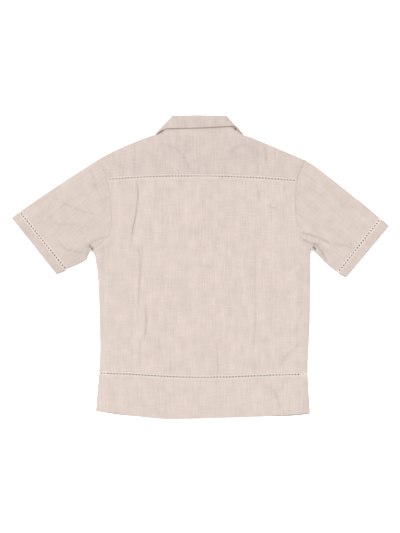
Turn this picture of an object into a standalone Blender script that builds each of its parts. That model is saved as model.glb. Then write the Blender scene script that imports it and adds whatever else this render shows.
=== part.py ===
"""A short-sleeve shirt laid flat on its front, with its back up.

The origin is on the surface, under the middle of the shirt. +X runs to the right across the back, +Y from
the hem to the collar, and +Z up. Sizes below are in millimetres.

The shirt is two layers of cloth. Plan curves give the edges and seams of every piece, as seen from above.
Two height functions, front_under and back_under, give how high the lower and the upper layer lie, and each
piece is a wall of cloth between the plan curves that follows one of them, or both where it is a tube.
"""

import math
from collections import namedtuple

import bmesh
import bpy
import numpy as np

METRES = 0.001
CLOTH = 1.3
SEAM_GAP = 0.3
LAYER = CLOTH + SEAM_GAP

# How the two layers lie
PUFF = 3.2
EDGE_ROLL = 38.0
NECK_PULL = 0.55
NECK_REACH = 60.0
EDGE_BEVEL = 0.7

# Openwork tapes: a ladder of square gaps
TAPE_WIDTH = 9.0
TAPE_GAP = 4.2
TAPE_PITCH = 6.25
GAPS_PER_STEP = 5

# Front opening
OVERLAP_HALF = 16.0
PLACKET_HALF = 24.0
BUTTON_COUNT = 6
BUTTON_RADIUS = 5.5
BUTTON_THICK = 2.0
BUTTON_RISE = BUTTON_THICK + SEAM_GAP
BUTTON_TOP_Y = 246.0
BUTTON_PITCH = 92.0
PLACKET_SLOPE = 26.0

# Collar: the fall stands off the stand by these amounts
ROLL_GAP = 1.0
FALL_GAP = 1.8
SIDE_FALL_GAP = 1.4
SIDE_MIDDLE = LAYER + CLOTH + 0.2
SIDE_STAND = CLOTH + 0.2

LINEN = (0.74, 0.62, 0.56, 1.0)
THREAD = (0.86, 0.79, 0.72, 1.0)
SHELL = (0.80, 0.74, 0.66, 1.0)

# Half outlines, as (x, y) points from the seam or corner named first. x is the true x on each side.
SIDES = {
    "left": {
        "armhole": [(-254.3, 270), (-241, 243), (-232.5, 214), (-226, 181), (-222.5, 143), (-222, 113),
                    (-227, 83), (-244, 61), (-273.5, 41)],
        "tape end y": 219.0,
        "body side": [(-273.5, 41), (-265, 29.5), (-260.5, 5), (-256, -37), (-253.3, -97), (-251.3, -177),
                      (-251.6, -227), (-254.3, -265)],
        "band side": [(-254.3, -265), (-255.5, -286), (-258.6, -320), (-261, -359.5)],
        "sleeve top": [(-254.3, 270), (-306, 237), (-386, 184.5), (-452, 138.2)],
        "cuff top": [(-452, 138.2), (-472, 122.3)],
        "sleeve under": [(-273.5, 41), (-281, 30), (-285.5, 18.5), (-306, 7), (-335.4, -7)],
        "cuff under": [(-335.4, -7), (-345, -11.2), (-360, -18.3)],
        "shoulder": [(-254.3, 270), (-226, 285.5), (-186, 304), (-146, 320.3), (-126, 327.2), (-116.5, 330.2)],
        "shoulder in collar": [(-107, 333.4), (-101, 338)],
        "neck corner": (-94, 344),
        "fold top": (-67.3, 377.4),
        "fold low": (-110.4, 331.5),
        "fold out": (-0.72, 0.69),
        "wing point": (-54, 262),
    },
    "right": {
        "armhole": [(262.3, 267.5), (249, 238), (240.5, 214), (237.5, 181), (237.8, 147), (240, 113),
                    (247, 85), (259, 62), (277.8, 42)],
        "tape end y": 216.0,
        "body side": [(277.8, 42), (275.6, 36), (275, -17), (274, -77), (273, -137), (270.8, -187),
                      (268.6, -230), (268, -268)],
        "band side": [(268, -268), (268.9, -290), (271.6, -337), (273, -365.5)],
        "sleeve top": [(262.3, 267.5), (294, 247), (354, 200), (414, 152.5), (450, 121.4)],
        "cuff top": [(450, 121.4), (471.5, 102.3)],
        "sleeve under": [(277.8, 42), (286, 37), (300.5, 23), (318, 5.5), (343.5, -14)],
        "cuff under": [(343.5, -14), (350, -18.8), (364, -26.5)],
        "shoulder": [(262.3, 267.5), (214, 287.8), (174, 304.8), (134, 321.3), (108, 330.3)],
        "shoulder in collar": [(101, 334), (94.5, 339.6)],
        "neck corner": (88, 346),
        "fold top": (61.7, 377.4),
        "fold low": (103.3, 331.8),
        "fold out": (0.74, 0.67),
        "wing point": (47, 262),
    },
}
NECK_BACK = [(-94, 344), (-70, 351.5), (-36, 355.8), (-3.5, 356.8), (30, 356.3), (64, 352.8), (88, 346)]
NECK_FRONT_Y = 290.0
COLLAR_TOP_Y = 377.4
FALL_EDGE = [(-110.4, 331.5), (-98, 340.6), (-88, 344.6), (-76, 346.2), (-36, 347.4), (-3.5, 348), (26, 349.4),
             (70, 352), (90, 351.6), (97, 345), (103.3, 331.8)]
YOKE_SEAM = [(-235, 219), (-170, 223.4), (-100, 226.6), (-20, 227.2), (60, 226.4), (150, 222.4), (242, 216)]
HEM_SEAM = [(-254.3, -265), (-186, -267.4), (-126, -271), (-60, -274.4), (0, -275.6), (60, -275),
            (124, -272.6), (200, -269.4), (268, -268)]
HEM_BACK = [(-261, -359.5), (-206, -367.3), (-166, -372.3), (-126, -376.8), (-86, -379.6), (-46, -379.5),
            (34, -377.3), (114, -375), (194, -371.8), (234, -369.3), (273, -365.5)]
HEM_FRONT = [(-261, -360.5), (-206, -369), (-166, -372.9), (-126, -375.6), (-46, -377), (34, -375.6),
             (114, -374), (194, -373.2), (234, -371.8), (273, -367.5)]
CENTRE_FRONT = [(-3.5, NECK_FRONT_Y), (6.5, -376.0)]

# The pressed-in folds down the back: x of each fold at heights from the hem seam up to the yoke seam
FOLD_PATHS = {
    "left": [(-152, -272), (-150, -180), (-139, -115), (-150, -40), (-151, 40), (-166, 78), (-157, 140),
             (-156, 180), (-166, 222)],
    "right": [(133, -272), (136, -180), (139, -100), (141, 0), (141, 80), (145, 150), (143, 222)],
}
FOLD_OFFSETS = (-14.0, -4.5, 3.0, 12.0)
EDGE_OFFSETS = (0.0, 2.5, 9.0, 21.0, 40.0)

Crease = namedtuple("Crease", "x0 y0 x1 y1 bow width height")
CREASES = [
    Crease(-166, 216, -168, 70, -16, 8, 1.5),
    Crease(-158, 216, -160, 70, -16, 7, -1.1),
    Crease(-157, 60, -156, -250, -4, 8, 0.9),
    Crease(-148, 60, -148, -250, -4, 7, -0.9),
    Crease(137, 180, 130, -255, 5, 9, -1.0),
    Crease(148, 180, 142, -255, 5, 9, 0.7),
    Crease(-290, 48, -214, 92, 4, 13, -1.3),
    Crease(-284, 68, -224, 112, 4, 16, 0.8),
    Crease(248, 72, 330, 38, 8, 13, -1.3),
    Crease(252, 92, 350, 44, 10, 16, 0.9),
    Crease(-390, 175, -232, 130, -4, 18, -0.7),
    Crease(-292, 235, -262, 160, 3, 15, -0.7),
    Crease(-52, 302, -16, 250, 6, 13, -0.7),
]


def spline(points, shares):
    """Points of the smooth curve through the given ones, at these shares of its length."""
    p = np.array(points, float)
    ends = np.vstack([2 * p[0] - p[1], p, 2 * p[-1] - p[-2]])
    fine = []
    for a, b, c, d in zip(ends, ends[1:], ends[2:], ends[3:]):
        for t in np.linspace(0, 1, 16, endpoint=False):
            fine.append(0.5 * (2 * b + (c - a) * t + (2 * a - 5 * b + 4 * c - d) * t**2
                               + (3 * b - a - 3 * c + d) * t**3))
    fine = np.array(fine + [p[-1]])
    length = np.concatenate([[0], np.cumsum(np.linalg.norm(np.diff(fine, axis=0), axis=1))])
    at = np.array(shares) * length[-1]
    return np.stack([np.interp(at, length, fine[:, k]) for k in (0, 1)], 1)


def even(points, steps):
    return spline(points, np.linspace(0, 1, steps + 1))


def at_x(points, xs):
    """Points of the smooth curve at these x values, for a curve that runs from left to right."""
    fine = even(points, 400)
    xs = np.array(xs, float)
    return np.stack([xs, np.interp(xs, fine[:, 0], fine[:, 1])], 1)


def share_at_y(points, y):
    """How far along a curve that runs down the page it passes this y."""
    fine = even(points, 400)
    return float(np.interp(-y, -fine[:, 1], np.linspace(0, 1, 401)))


def moved_across(points, distance):
    """The line moved sideways, to the left of its own direction."""
    p = np.array(points, float)
    along = np.gradient(p, axis=0)
    along /= np.linalg.norm(along, axis=1)[:, None]
    return p + distance * np.stack([-along[:, 1], along[:, 0]], 1)


def line_length(points):
    return float(np.linalg.norm(np.diff(np.array(points, float), axis=0), axis=1).sum())


def ease(t):
    t = np.clip(t, 0, 1)
    return t * t * (3 - 2 * t)


def distance_to(line, x, y):
    a, b = line[:-1], line[1:]
    run = b - a
    rel = np.array([x, y]) - a
    t = np.clip((rel * run).sum(1) / (run * run).sum(1), 0, 1)
    return float(np.sqrt(((rel - run * t[:, None]) ** 2).sum(1)).min())


def inside(polygon, x, y):
    hit = False
    for (x0, y0), (x1, y1) in zip(polygon, np.roll(polygon, -1, axis=0)):
        if (y0 > y) != (y1 > y) and x < x0 + (y - y0) * (x1 - x0) / (y1 - y0):
            hit = not hit
    return hit


def closed_edges():
    """The edges where the two layers are joined or folded: sides, shoulders and sleeve edges."""
    lines = []
    for side in SIDES.values():
        for name in ("body side", "band side", "sleeve top", "cuff top", "sleeve under", "cuff under",
                     "shoulder"):
            lines.append(even(side[name], 8))
    return lines


CLOSED_EDGES = closed_edges()
NECK_LINE = even(NECK_BACK, 12)


def collar_zone():
    """The area that the collar's front wings take up, on the surface under the fronts."""
    left, right = SIDES["left"], SIDES["right"]
    centre = (CENTRE_FRONT[0][0], NECK_FRONT_Y)
    return np.array([left["fold top"], left["fold low"], left["wing point"], centre,
                     right["wing point"], right["fold low"], right["fold top"]], float)


COLLAR_ZONE = collar_zone()
ZONE_EDGE = np.vstack([COLLAR_ZONE, COLLAR_ZONE[:1]])


def wing_lift(x, y):
    """How much the collar's wings raise everything above them."""
    away = 0.0 if inside(COLLAR_ZONE, x, y) else distance_to(ZONE_EDGE, x, y)
    return LAYER * ease(1 - (away - 22) / 34)


def past_centre(x, y):
    """Distance to the right of the centre front line."""
    (x0, y0), (x1, y1) = CENTRE_FRONT
    return x - (x0 + (x1 - x0) * (y - y0) / (y1 - y0))


def front_under(x, y, over_left=False):
    """Height of the underside of the front layer. over_left is the right front, which laps the left one."""
    d = past_centre(x, y)
    rise = BUTTON_RISE * ease(1 - (abs(d) - PLACKET_HALF) / PLACKET_SLOPE)
    height = max(wing_lift(x, y), rise)
    if over_left:
        height += LAYER * ease(1 - (d - PLACKET_HALF) / PLACKET_SLOPE)
    return height


def crease_height(c, x, y):
    run = np.array([c.x1 - c.x0, c.y1 - c.y0], float)
    length = np.linalg.norm(run)
    run /= length
    rel = np.array([x - c.x0, y - c.y0])
    t = rel @ run / length
    if not -0.05 < t < 1.05:
        return 0.0
    off = run[0] * rel[1] - run[1] * rel[0] - c.bow * 4 * t * (1 - t)
    return c.height * math.exp(-((off / c.width) ** 2)) * ease(t / 0.18) * ease((1 - t) / 0.18)


def back_under(x, y):
    """Height of the underside of the back layer."""
    edge = min(distance_to(line, x, y) for line in CLOSED_EDGES)
    inner = ease(0.5 + 0.5 * edge / EDGE_ROLL) * 2 - 1
    neck = 1 - NECK_PULL * (1 - ease(distance_to(NECK_LINE, x, y) / NECK_REACH))
    lap = ease(1 - (abs(past_centre(x, y)) - OVERLAP_HALF) / 60)
    folds = sum(crease_height(c, x, y) for c in CREASES)
    least = LAYER + wing_lift(x, y)
    height = least + inner * (PUFF * neck + 0.9 * lap + folds)
    floor = front_under(x, y) + LAYER
    if abs(past_centre(x, y)) < OVERLAP_HALF + 60:
        floor = front_under(x, y, over_left=True) + LAYER
    return max(height, floor, least)


def material(name, colour, roughness):
    made = bpy.data.materials.new(name)
    made.use_nodes = True
    shader = made.node_tree.nodes["Principled BSDF"]
    shader.inputs["Base Color"].default_value = colour
    shader.inputs["Roughness"].default_value = roughness
    made.diffuse_color = colour
    return made


def solid(name, points, faces, colour):
    """One closed object from points in millimetres."""
    mesh = bpy.data.meshes.new(name)
    mesh.from_pydata([tuple(np.array(p) * METRES) for p in points], [], faces)
    shape = bmesh.new()
    shape.from_mesh(mesh)
    bmesh.ops.recalc_face_normals(shape, faces=shape.faces)
    shape.to_mesh(mesh)
    shape.free()
    obj = bpy.data.objects.new(name, mesh)
    obj.data.materials.append(colour)
    bpy.context.scene.collection.objects.link(obj)
    return obj


def inset(start, end, left, right, gap=SEAM_GAP / 2):
    """The four sides of a patch moved inwards, so that neighbouring pieces stay a seam gap apart."""
    loop = np.vstack([start, right[1:], end[::-1][1:], left[::-1][1:-1]])
    turn = np.roll(loop, -1, axis=0) - loop
    turn /= np.linalg.norm(turn, axis=1)[:, None]
    area = float((loop[:, 0] * np.roll(loop[:, 1], -1) - loop[:, 1] * np.roll(loop[:, 0], -1)).sum())
    inwards = np.stack([-turn[:, 1], turn[:, 0]], 1) * math.copysign(1, area)
    before = np.roll(inwards, 1, axis=0)
    both = before + inwards
    both /= (1 + (before * inwards).sum(1))[:, None]
    loop = loop + gap * both
    n, m = len(start) - 1, len(left) - 1
    ring = np.vstack([loop, loop[:1]])
    return (ring[: n + 1], ring[n + m : 2 * n + m + 1][::-1], ring[2 * n + m :][::-1], ring[n : n + m + 1])


def patch(start, end, left, right):
    """Rows of points spread between four sides. start and end run the same way, and so do left and right."""

    def shares(a, b):
        steps = np.linalg.norm(np.diff(a, axis=0), axis=1) + np.linalg.norm(np.diff(b, axis=0), axis=1)
        return np.concatenate([[0], np.cumsum(steps)]) / steps.sum()

    start, end, left, right = inset(start, end, left, right)
    u = shares(start, end)[None, :, None]
    v = shares(left, right)[:, None, None]
    across = (1 - v) * start[None] + v * end[None]
    along = (1 - u) * left[:, None] + u * right[:, None]
    corners = ((1 - u) * (1 - v) * start[0] + u * (1 - v) * start[-1]
               + (1 - u) * v * end[0] + u * v * end[-1])
    return across + along - corners


def rim(rows, columns):
    """Indices round the edge of a grid of points, in order."""
    index = np.arange(rows * columns).reshape(rows, columns)
    return list(index[0]) + list(index[1:, -1]) + list(index[-1, :-1][::-1]) + list(index[1:-1, 0][::-1])


def cloth_wall(name, plan, under, colour):
    """A wall of cloth over a grid of plan points, whose underside follows the function under."""
    rows, columns = plan.shape[:2]
    count = rows * columns
    flat = plan.reshape(-1, 2)
    middle = flat.mean(0)
    low = [(x, y, under(x, y)) for x, y in flat]
    edge = set(rim(rows, columns))
    high = []
    for k, (x, y, z) in enumerate(low):
        shift = np.zeros(2)
        if k in edge:
            j, i = divmod(k, columns)
            to = plan[min(max(j, 1), rows - 2), min(max(i, 1), columns - 2)] - (x, y)
            shift = min(EDGE_BEVEL, 0.4 * np.linalg.norm(to)) * to / np.linalg.norm(to)
        high.append((x + shift[0], y + shift[1], z + CLOTH))
    faces = []
    for j in range(rows - 1):
        for i in range(columns - 1):
            a, b, c, d = (j * columns + i, j * columns + i + 1, (j + 1) * columns + i + 1, (j + 1) * columns + i)
            faces += [(a + count, b + count, c + count, d + count), (d, c, b, a)]
    ring = rim(rows, columns)
    for a, b in zip(ring, ring[1:] + ring[:1]):
        faces.append((a, b, b + count, a + count))
    return solid(name, low + high, faces, colour)


def cloth_tube(name, plan, colour, hook=0):
    """A flattened tube of cloth over a grid of plan points, folded along the sides of the grid.

    It is open at its first and last row, and along the first steps of its last column, as hook says.
    """
    rows, columns = plan.shape[:2]
    count = rows * columns
    flat = plan.reshape(-1, 2)
    ring = rim(rows, columns)
    fold_left = [j * columns for j in range(rows)]
    fold_right = [j * columns + columns - 1 for j in range(hook, rows)]
    inwards = {}
    for fold, step in ((fold_left, 1), (fold_right, -1)):
        for k in fold:
            to = flat[k + step] - flat[k]
            if hook and k == fold_right[0]:
                to = 2 * (flat[k - columns] - flat[k]) + to
            inwards[k] = to / np.linalg.norm(to)
    points, layers = [], []
    for high, depth in ((True, 0.0), (True, CLOTH), (False, 0.0), (False, CLOTH)):
        layers.append(len(points))
        for k, (x, y) in enumerate(flat):
            z = back_under(x, y) + CLOTH - depth if high else front_under(x, y) + depth
            if k in inwards:
                x, y = flat[k] + inwards[k] * (EDGE_BEVEL + depth)
            points.append((x, y, z))
    top, top_in, low, low_in = layers
    middle = {}
    for depth, high in ((0.0, top), (CLOTH, top_in)):
        for k, direction in inwards.items():
            middle[high, k] = len(points)
            z = (points[top + k][2] + points[low + k][2]) / 2
            points.append((*(flat[k] + direction * depth), z))
    faces = []
    for j in range(rows - 1):
        for i in range(columns - 1):
            a = j * columns + i
            cell = (a, a + 1, a + columns + 1, a + columns)
            faces += [tuple(layer + k for k in cell) for layer in layers]
    for fold in (fold_left, fold_right):
        for a, b in zip(fold, fold[1:]):
            for high, down in ((top, low), (top_in, low_in)):
                faces += [(high + a, high + b, middle[high, b], middle[high, a]),
                          (middle[high, a], middle[high, b], down + b, down + a)]
    closed = set(zip(fold_left, fold_left[1:])) | set(zip(fold_right, fold_right[1:]))
    for a, b in zip(ring, ring[1:] + ring[:1]):
        if (a, b) in closed or (b, a) in closed:
            continue
        faces += [(top + a, top + b, top_in + b, top_in + a), (low + a, low + b, low_in + b, low_in + a)]
    for k in (fold_left[0], fold_left[-1], fold_right[0], fold_right[-1]):
        outer, inner = middle[top, k], middle[top_in, k]
        faces += [(top + k, top_in + k, inner, outer), (outer, inner, low_in + k, low + k)]
    return solid(name, points, faces, colour)


def tape_lines(centre, ends, shares, offsets):
    """Lines beside a tape's centre line, cut off at its end lines. Each end line runs across it, low to high."""
    line = spline(centre, shares)
    lines = []
    for offset in offsets:
        beside = moved_across(line, offset)
        for k, (low, high) in zip((0, -1), ends):
            beside[k] = (low + high) / 2 + (high - low) * offset / TAPE_WIDTH
        lines.append(beside)
    return lines


def plain_tape(name, centre, ends, under, colour):
    """A tape of the lower layer, which lies against the surface."""
    steps = int(line_length(centre) // 30)
    half = TAPE_WIDTH / 2 - SEAM_GAP / 2
    plan = np.array(tape_lines(centre, ends, np.linspace(0, 1, steps + 1), (-half, 0, half)))
    cloth_wall(name, plan, under, colour)


def openwork_tape(name, centre, ends, under, colour):
    """A ladder: two rails, with bars between its square gaps."""
    length = line_length(centre)
    gaps = int(round((length - 6) / TAPE_PITCH))
    margin = (length - (gaps - 1) * TAPE_PITCH - TAPE_GAP) / 2
    starts = margin + TAPE_PITCH * np.arange(gaps)
    shares = np.concatenate([[0], np.stack([starts, starts + TAPE_GAP], 1).ravel() / length, [1]])
    half = TAPE_WIDTH / 2 - SEAM_GAP / 2
    lines = tape_lines(centre, ends, shares, (-half, -TAPE_GAP / 2, TAPE_GAP / 2, half))
    last = len(shares) - 1
    kept = list(range(0, last, 2 * GAPS_PER_STEP)) + [last]
    plan = np.vstack([lines[0][kept], lines[1], lines[2], lines[3][kept]])
    low_side, high_side = len(kept), len(kept) + last + 1
    high_rail = high_side + last + 1
    flat, walls = [], []
    for i, (a, b) in enumerate(zip(kept, kept[1:])):
        flat.append([i, i + 1] + [low_side + k for k in range(b, a - 1, -1)])
        flat.append([high_rail + i + 1, high_rail + i] + [high_side + k for k in range(a, b + 1)])
        walls += [(i + 1, i), (high_rail + i, high_rail + i + 1)]
    for k in range(last):
        bar = [low_side + k, low_side + k + 1, high_side + k + 1, high_side + k]
        if k % 2 == 0:
            flat.append(bar)
        else:
            walls += list(zip(bar, bar[1:] + bar[:1]))
    for i, k in ((0, 0), (len(kept) - 1, last)):
        across = [i, low_side + k, high_side + k, high_rail + i]
        walls += list(zip(across, across[1:]))
    count = len(plan)
    low = [(x, y, under(x, y)) for x, y in plan]
    faces = [tuple(face[::-1]) for face in flat] + [tuple(k + count for k in face) for face in flat]
    faces += [(a, b, b + count, a + count) for a, b in walls]
    solid(name, low + [(x, y, z + CLOTH) for x, y, z in low], faces, colour)


def line_columns(curve, left, right, folds, fills):
    """Points along a left-to-right seam, closer together at its ends and at the pressed-in folds."""
    xs = [left + o for o in EDGE_OFFSETS]
    for fold, sign in zip(folds, (1, -1)):
        xs += sorted(fold + sign * o for o in FOLD_OFFSETS)
    xs += [right - o for o in EDGE_OFFSETS[::-1]]
    spread = []
    for (a, b), extra in zip(zip(xs, xs[1:]), fills):
        spread += list(np.linspace(a, b, extra + 2)[:-1])
    return at_x(curve, spread + [xs[-1]])


def follow_folds(plan):
    """Slides the inner points sideways, so that their columns run along the pressed-in folds."""
    for side, sign in (("left", 1), ("right", -1)):
        path = np.array(FOLD_PATHS[side], float)
        ends = path[[0, -1]]
        for row in plan[1:-1]:
            for point in row[1:-1]:
                straight = np.interp(point[1], ends[:, 1], ends[:, 0])
                bent = np.interp(point[1], path[:, 1], path[:, 0])
                point[0] += (bent - straight) * ease(1 - abs(point[0] - straight) / 70)
    return plan


def armhole_parts(side):
    """The armhole seam from the shoulder to the pit, as its yoke, tape and back stretches."""
    curve = SIDES[side]["armhole"]
    middle = SIDES[side]["tape end y"]
    high = share_at_y(curve, middle + TAPE_WIDTH / 2)
    low = share_at_y(curve, middle - TAPE_WIDTH / 2)
    cuts = np.concatenate([np.linspace(0, high, 4), np.linspace(low, 1, 7)])
    points = spline(curve, cuts)
    return points[:4], points[3:5], points[4:]


HOOK_STEPS = 2
SLEEVE_ROWS = 6
YOKE_FILLS = (6, 9, 6)
BACK_FILLS = (0, 0, 0, 0, 1, 0, 0, 0, 7, 0, 0, 0, 2, 0, 0, 0, 0)
SIDE_ROWS = 9


def shoulder_line(side, steps):
    """The shoulder seam from the armhole to the neck corner, which lies inside the folded collar."""
    data = SIDES[side]
    return np.vstack([even(data["shoulder"], steps), data["shoulder in collar"], [data["neck corner"]]])


def seam_edge(curve, sign, left_end, right_end):
    """The upper or lower edge of a tape, whose ends are set to the given points."""
    line = moved_across(even(curve, 60), sign * TAPE_WIDTH / 2)
    line[0], line[-1] = left_end, right_end
    return line[np.argsort(line[:, 0])]


def make_back(cloth, thread):
    """Yoke, tape, back panel, tape and hem band."""
    arms = {side: armhole_parts(side) for side in SIDES}
    yoke_top = np.vstack([shoulder_line("left", YOKE_FILLS[0])[:-1],
                          even(NECK_BACK, YOKE_FILLS[1])[:-1],
                          shoulder_line("right", YOKE_FILLS[2])[::-1]])
    seam_high = seam_edge(YOKE_SEAM, 1, arms["left"][0][-1], arms["right"][0][-1])
    seam_low = seam_edge(YOKE_SEAM, -1, arms["left"][2][0], arms["right"][2][0])
    share = (yoke_top[:, 0] - yoke_top[0, 0]) / (yoke_top[-1, 0] - yoke_top[0, 0])
    start = at_x(seam_high, seam_high[0, 0] + share * (seam_high[-1, 0] - seam_high[0, 0]))
    plan = patch(start, yoke_top, arms["left"][0][::-1], arms["right"][0][::-1])
    cloth_wall("yoke", plan, back_under, cloth)

    centre = even([(arms["left"][1].mean(0)), *YOKE_SEAM[1:-1], (arms["right"][1].mean(0))], 60)
    ends = [arms[side][1][::-1] + (sign * SEAM_GAP / 2, 0) for side, sign in (("left", 1), ("right", -1))]
    openwork_tape("yoke_tape", centre, ends, back_under, thread)

    hem_high = moved_across(even(HEM_SEAM, 60), TAPE_WIDTH / 2)
    hem_low = moved_across(even(HEM_SEAM, 60), -TAPE_WIDTH / 2)
    sides = {}
    for side in SIDES:
        arm = arms[side][2]
        body = SIDES[side]["body side"]
        body = even(body[:-1] + [hem_high[0 if side == "left" else -1]], SIDE_ROWS)
        sides[side] = np.vstack([arm, body[1:]])[::-1]
    folds = {end: [FOLD_PATHS[side][end][0] for side in SIDES] for end in (0, -1)}
    start = line_columns(hem_high, hem_high[0, 0], hem_high[-1, 0], folds[0], BACK_FILLS)
    start[0], start[-1] = sides["left"][0], sides["right"][0]
    end = line_columns(seam_low, seam_low[0, 0], seam_low[-1, 0], folds[-1], BACK_FILLS)
    plan = follow_folds(patch(start, end, sides["left"], sides["right"]))
    cloth_wall("back", plan, back_under, cloth)
    hem_pieces("back", hem_high, hem_low, HEM_BACK, (0.0, 1.0), back_under, cloth, thread)
    return arms, sides


def hem_pieces(name, high, low, hem, part, under, cloth, thread):
    """The tape and the band along the hem, over the given part of its width."""
    middle = (high + low) / 2
    first, last = middle[0, 0], middle[-1, 0]
    xs = np.linspace(first + part[0] * (last - first), first + part[1] * (last - first), 41)
    line = at_x(middle, xs)
    ends = [(at_x(low, [x])[0] + (sign * 0.15, 0), at_x(high, [x])[0] + (sign * 0.15, 0))
            for x, sign in ((xs[0], 1), (xs[-1], -1))]
    make_tape = openwork_tape if name == "back" else plain_tape
    make_tape("hem_tape_" + name, line, ends, under, thread)
    steps = max(6, round(20 * (part[1] - part[0])))
    lean = 0.5 - 0.5 * np.cos(np.pi * np.linspace(0, 1, steps + 1))
    spread = 0.5 * lean + 0.5 * np.linspace(0, 1, steps + 1)

    def along(curve):
        fine = even(curve, 200)
        a, b = (fine[0, 0] + p * (fine[-1, 0] - fine[0, 0]) for p in part)
        return at_x(curve, a + spread * (b - a))

    top, bottom = along(low), along(hem)
    edges = []
    for side, whole, k in (("left", part[0] == 0, 0), ("right", part[1] == 1, -1)):
        if whole:
            curve = [top[k], *SIDES[side]["band side"][1:-1], bottom[k]]
        else:
            curve = [top[k], (top[k] + bottom[k]) / 2, bottom[k]]
        edges.append(even(curve, 4)[::-1])
    cloth_wall("hem_band_" + name, patch(bottom, top, *edges), under, cloth)


def make_fronts(arms, sides, cloth, thread):
    """The two fronts, which lap at the centre, with their tapes and hem bands."""
    hem_high = moved_across(even(HEM_SEAM, 60), TAPE_WIDTH / 2)
    hem_low = moved_across(even(HEM_SEAM, 60), -TAPE_WIDTH / 2)
    width = hem_high[-1, 0] - hem_high[0, 0]
    for side, sign in (("left", 1), ("right", -1)):
        arm = np.vstack([arms[side][0], arms[side][2]])
        rows = SIDE_ROWS + len(arm) - 1
        outer = np.vstack([arm, sides[side][::-1][len(arms[side][2]):]])[::-1]
        shoulder = shoulder_line(side, 4)
        neck = front_neck(side)
        lap_top = neck[-1] + (sign * OVERLAP_HALF, 0)
        top = np.vstack([shoulder, neck[1:], [lap_top]])
        centre_x = CENTRE_FRONT[1][0] - 1.5 + sign * OVERLAP_HALF
        lap_low = at_x(hem_high, [centre_x])[0]
        lap = OVERLAP_HALF + PLACKET_HALF
        marks = [-sign * m for m in (lap + PLACKET_SLOPE, lap, 0)]
        xs = list(np.linspace(outer[0, 0], centre_x + marks[0], len(top) - 2)) + [centre_x + m for m in marks[1:]]
        low = at_x(hem_high, xs)
        low[0], low[-1] = outer[0], lap_low
        inner = even([lap_low, (lap_low + lap_top) / 2, lap_top], rows)
        over = side == "right"
        cloth_wall("front_" + side, patch(low, top, outer, inner),
                   lambda x, y, over=over: front_under(x, y, over), cloth)
        share = (centre_x - hem_high[0, 0]) / width
        part = (0.0, share) if side == "left" else (share, 1.0)
        hem_pieces("front_" + side, hem_high, hem_low, HEM_FRONT, part,
                   lambda x, y, over=over: front_under(x, y, over), cloth, thread)


def front_neck(side):
    """The front neckline, from the neck corner to the centre front."""
    corner = np.array(SIDES[side]["neck corner"], float)
    centre = np.array(CENTRE_FRONT[0], float)
    drop = corner[1] - centre[1]
    shape = [(0, 0), (0.18, 0.36), (0.42, 0.72), (0.72, 0.94), (1, 1)]
    return even([(corner[0] + u * (centre[0] - corner[0]), corner[1] - v * drop) for u, v in shape], 6)


def make_sleeve(side, arms, cloth, thread):
    """One sleeve, its tape and its cuff band, each a flattened tube."""
    data = SIDES[side]
    arm = np.vstack([arms[side][0], arms[side][2]])
    arm, hook = arm[: -HOOK_STEPS], arm[-HOOK_STEPS - 1 :]
    seam = (np.array(data["cuff top"][0], float), np.array(data["cuff under"][0], float))
    cuff = (np.array(data["cuff top"][-1], float), np.array(data["cuff under"][-1], float))
    across = (seam[1] - seam[0]) / np.linalg.norm(seam[1] - seam[0])
    outwards = (cuff[0] + cuff[1] - seam[0] - seam[1]) / 2
    outwards -= across * (outwards @ across)
    outwards /= np.linalg.norm(outwards)
    steps = np.concatenate([[0], np.cumsum(np.linalg.norm(np.diff(arm, axis=0), axis=1))])
    steps /= steps[-1]
    edge = {}
    for sign in (-1, 1):
        ends = [p + outwards * sign * TAPE_WIDTH / 2 for p in seam]
        edge[sign] = np.array([ends[0] + (ends[1] - ends[0]) * t for t in steps])
    top = even(data["sleeve top"][:-1] + [edge[-1][0]], SLEEVE_ROWS + HOOK_STEPS)
    under = np.vstack([hook, even(data["sleeve under"][:-1] + [edge[-1][-1]], SLEEVE_ROWS)[1:]])
    cloth_tube("sleeve_" + side, patch(arm, edge[-1], top, under), cloth, HOOK_STEPS)
    band_end = np.array([cuff[0] + (cuff[1] - cuff[0]) * t for t in steps])
    band_top = even([edge[1][0], band_end[0]], 2)
    band_under = even([edge[1][-1], band_end[-1]], 2)
    cloth_tube("cuff_" + side, patch(edge[1], band_end, band_top, band_under), cloth)
    inset_by = across * SEAM_GAP / 2
    middle = [seam[0] + inset_by + (seam[1] - seam[0] - 2 * inset_by) * t for t in np.linspace(0, 1, 12)]
    ends = []
    for p in (middle[0], middle[-1]):
        low, high = p - outwards * TAPE_WIDTH / 2, p + outwards * TAPE_WIDTH / 2
        turn = across[0] * outwards[1] - across[1] * outwards[0]
        ends.append((low, high) if turn > 0 else (high, low))
    openwork_tape(f"sleeve_tape_{side}_upper", middle, ends, back_under, thread)
    plain_tape(f"sleeve_tape_{side}_lower", middle, ends, front_under, thread)


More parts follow.
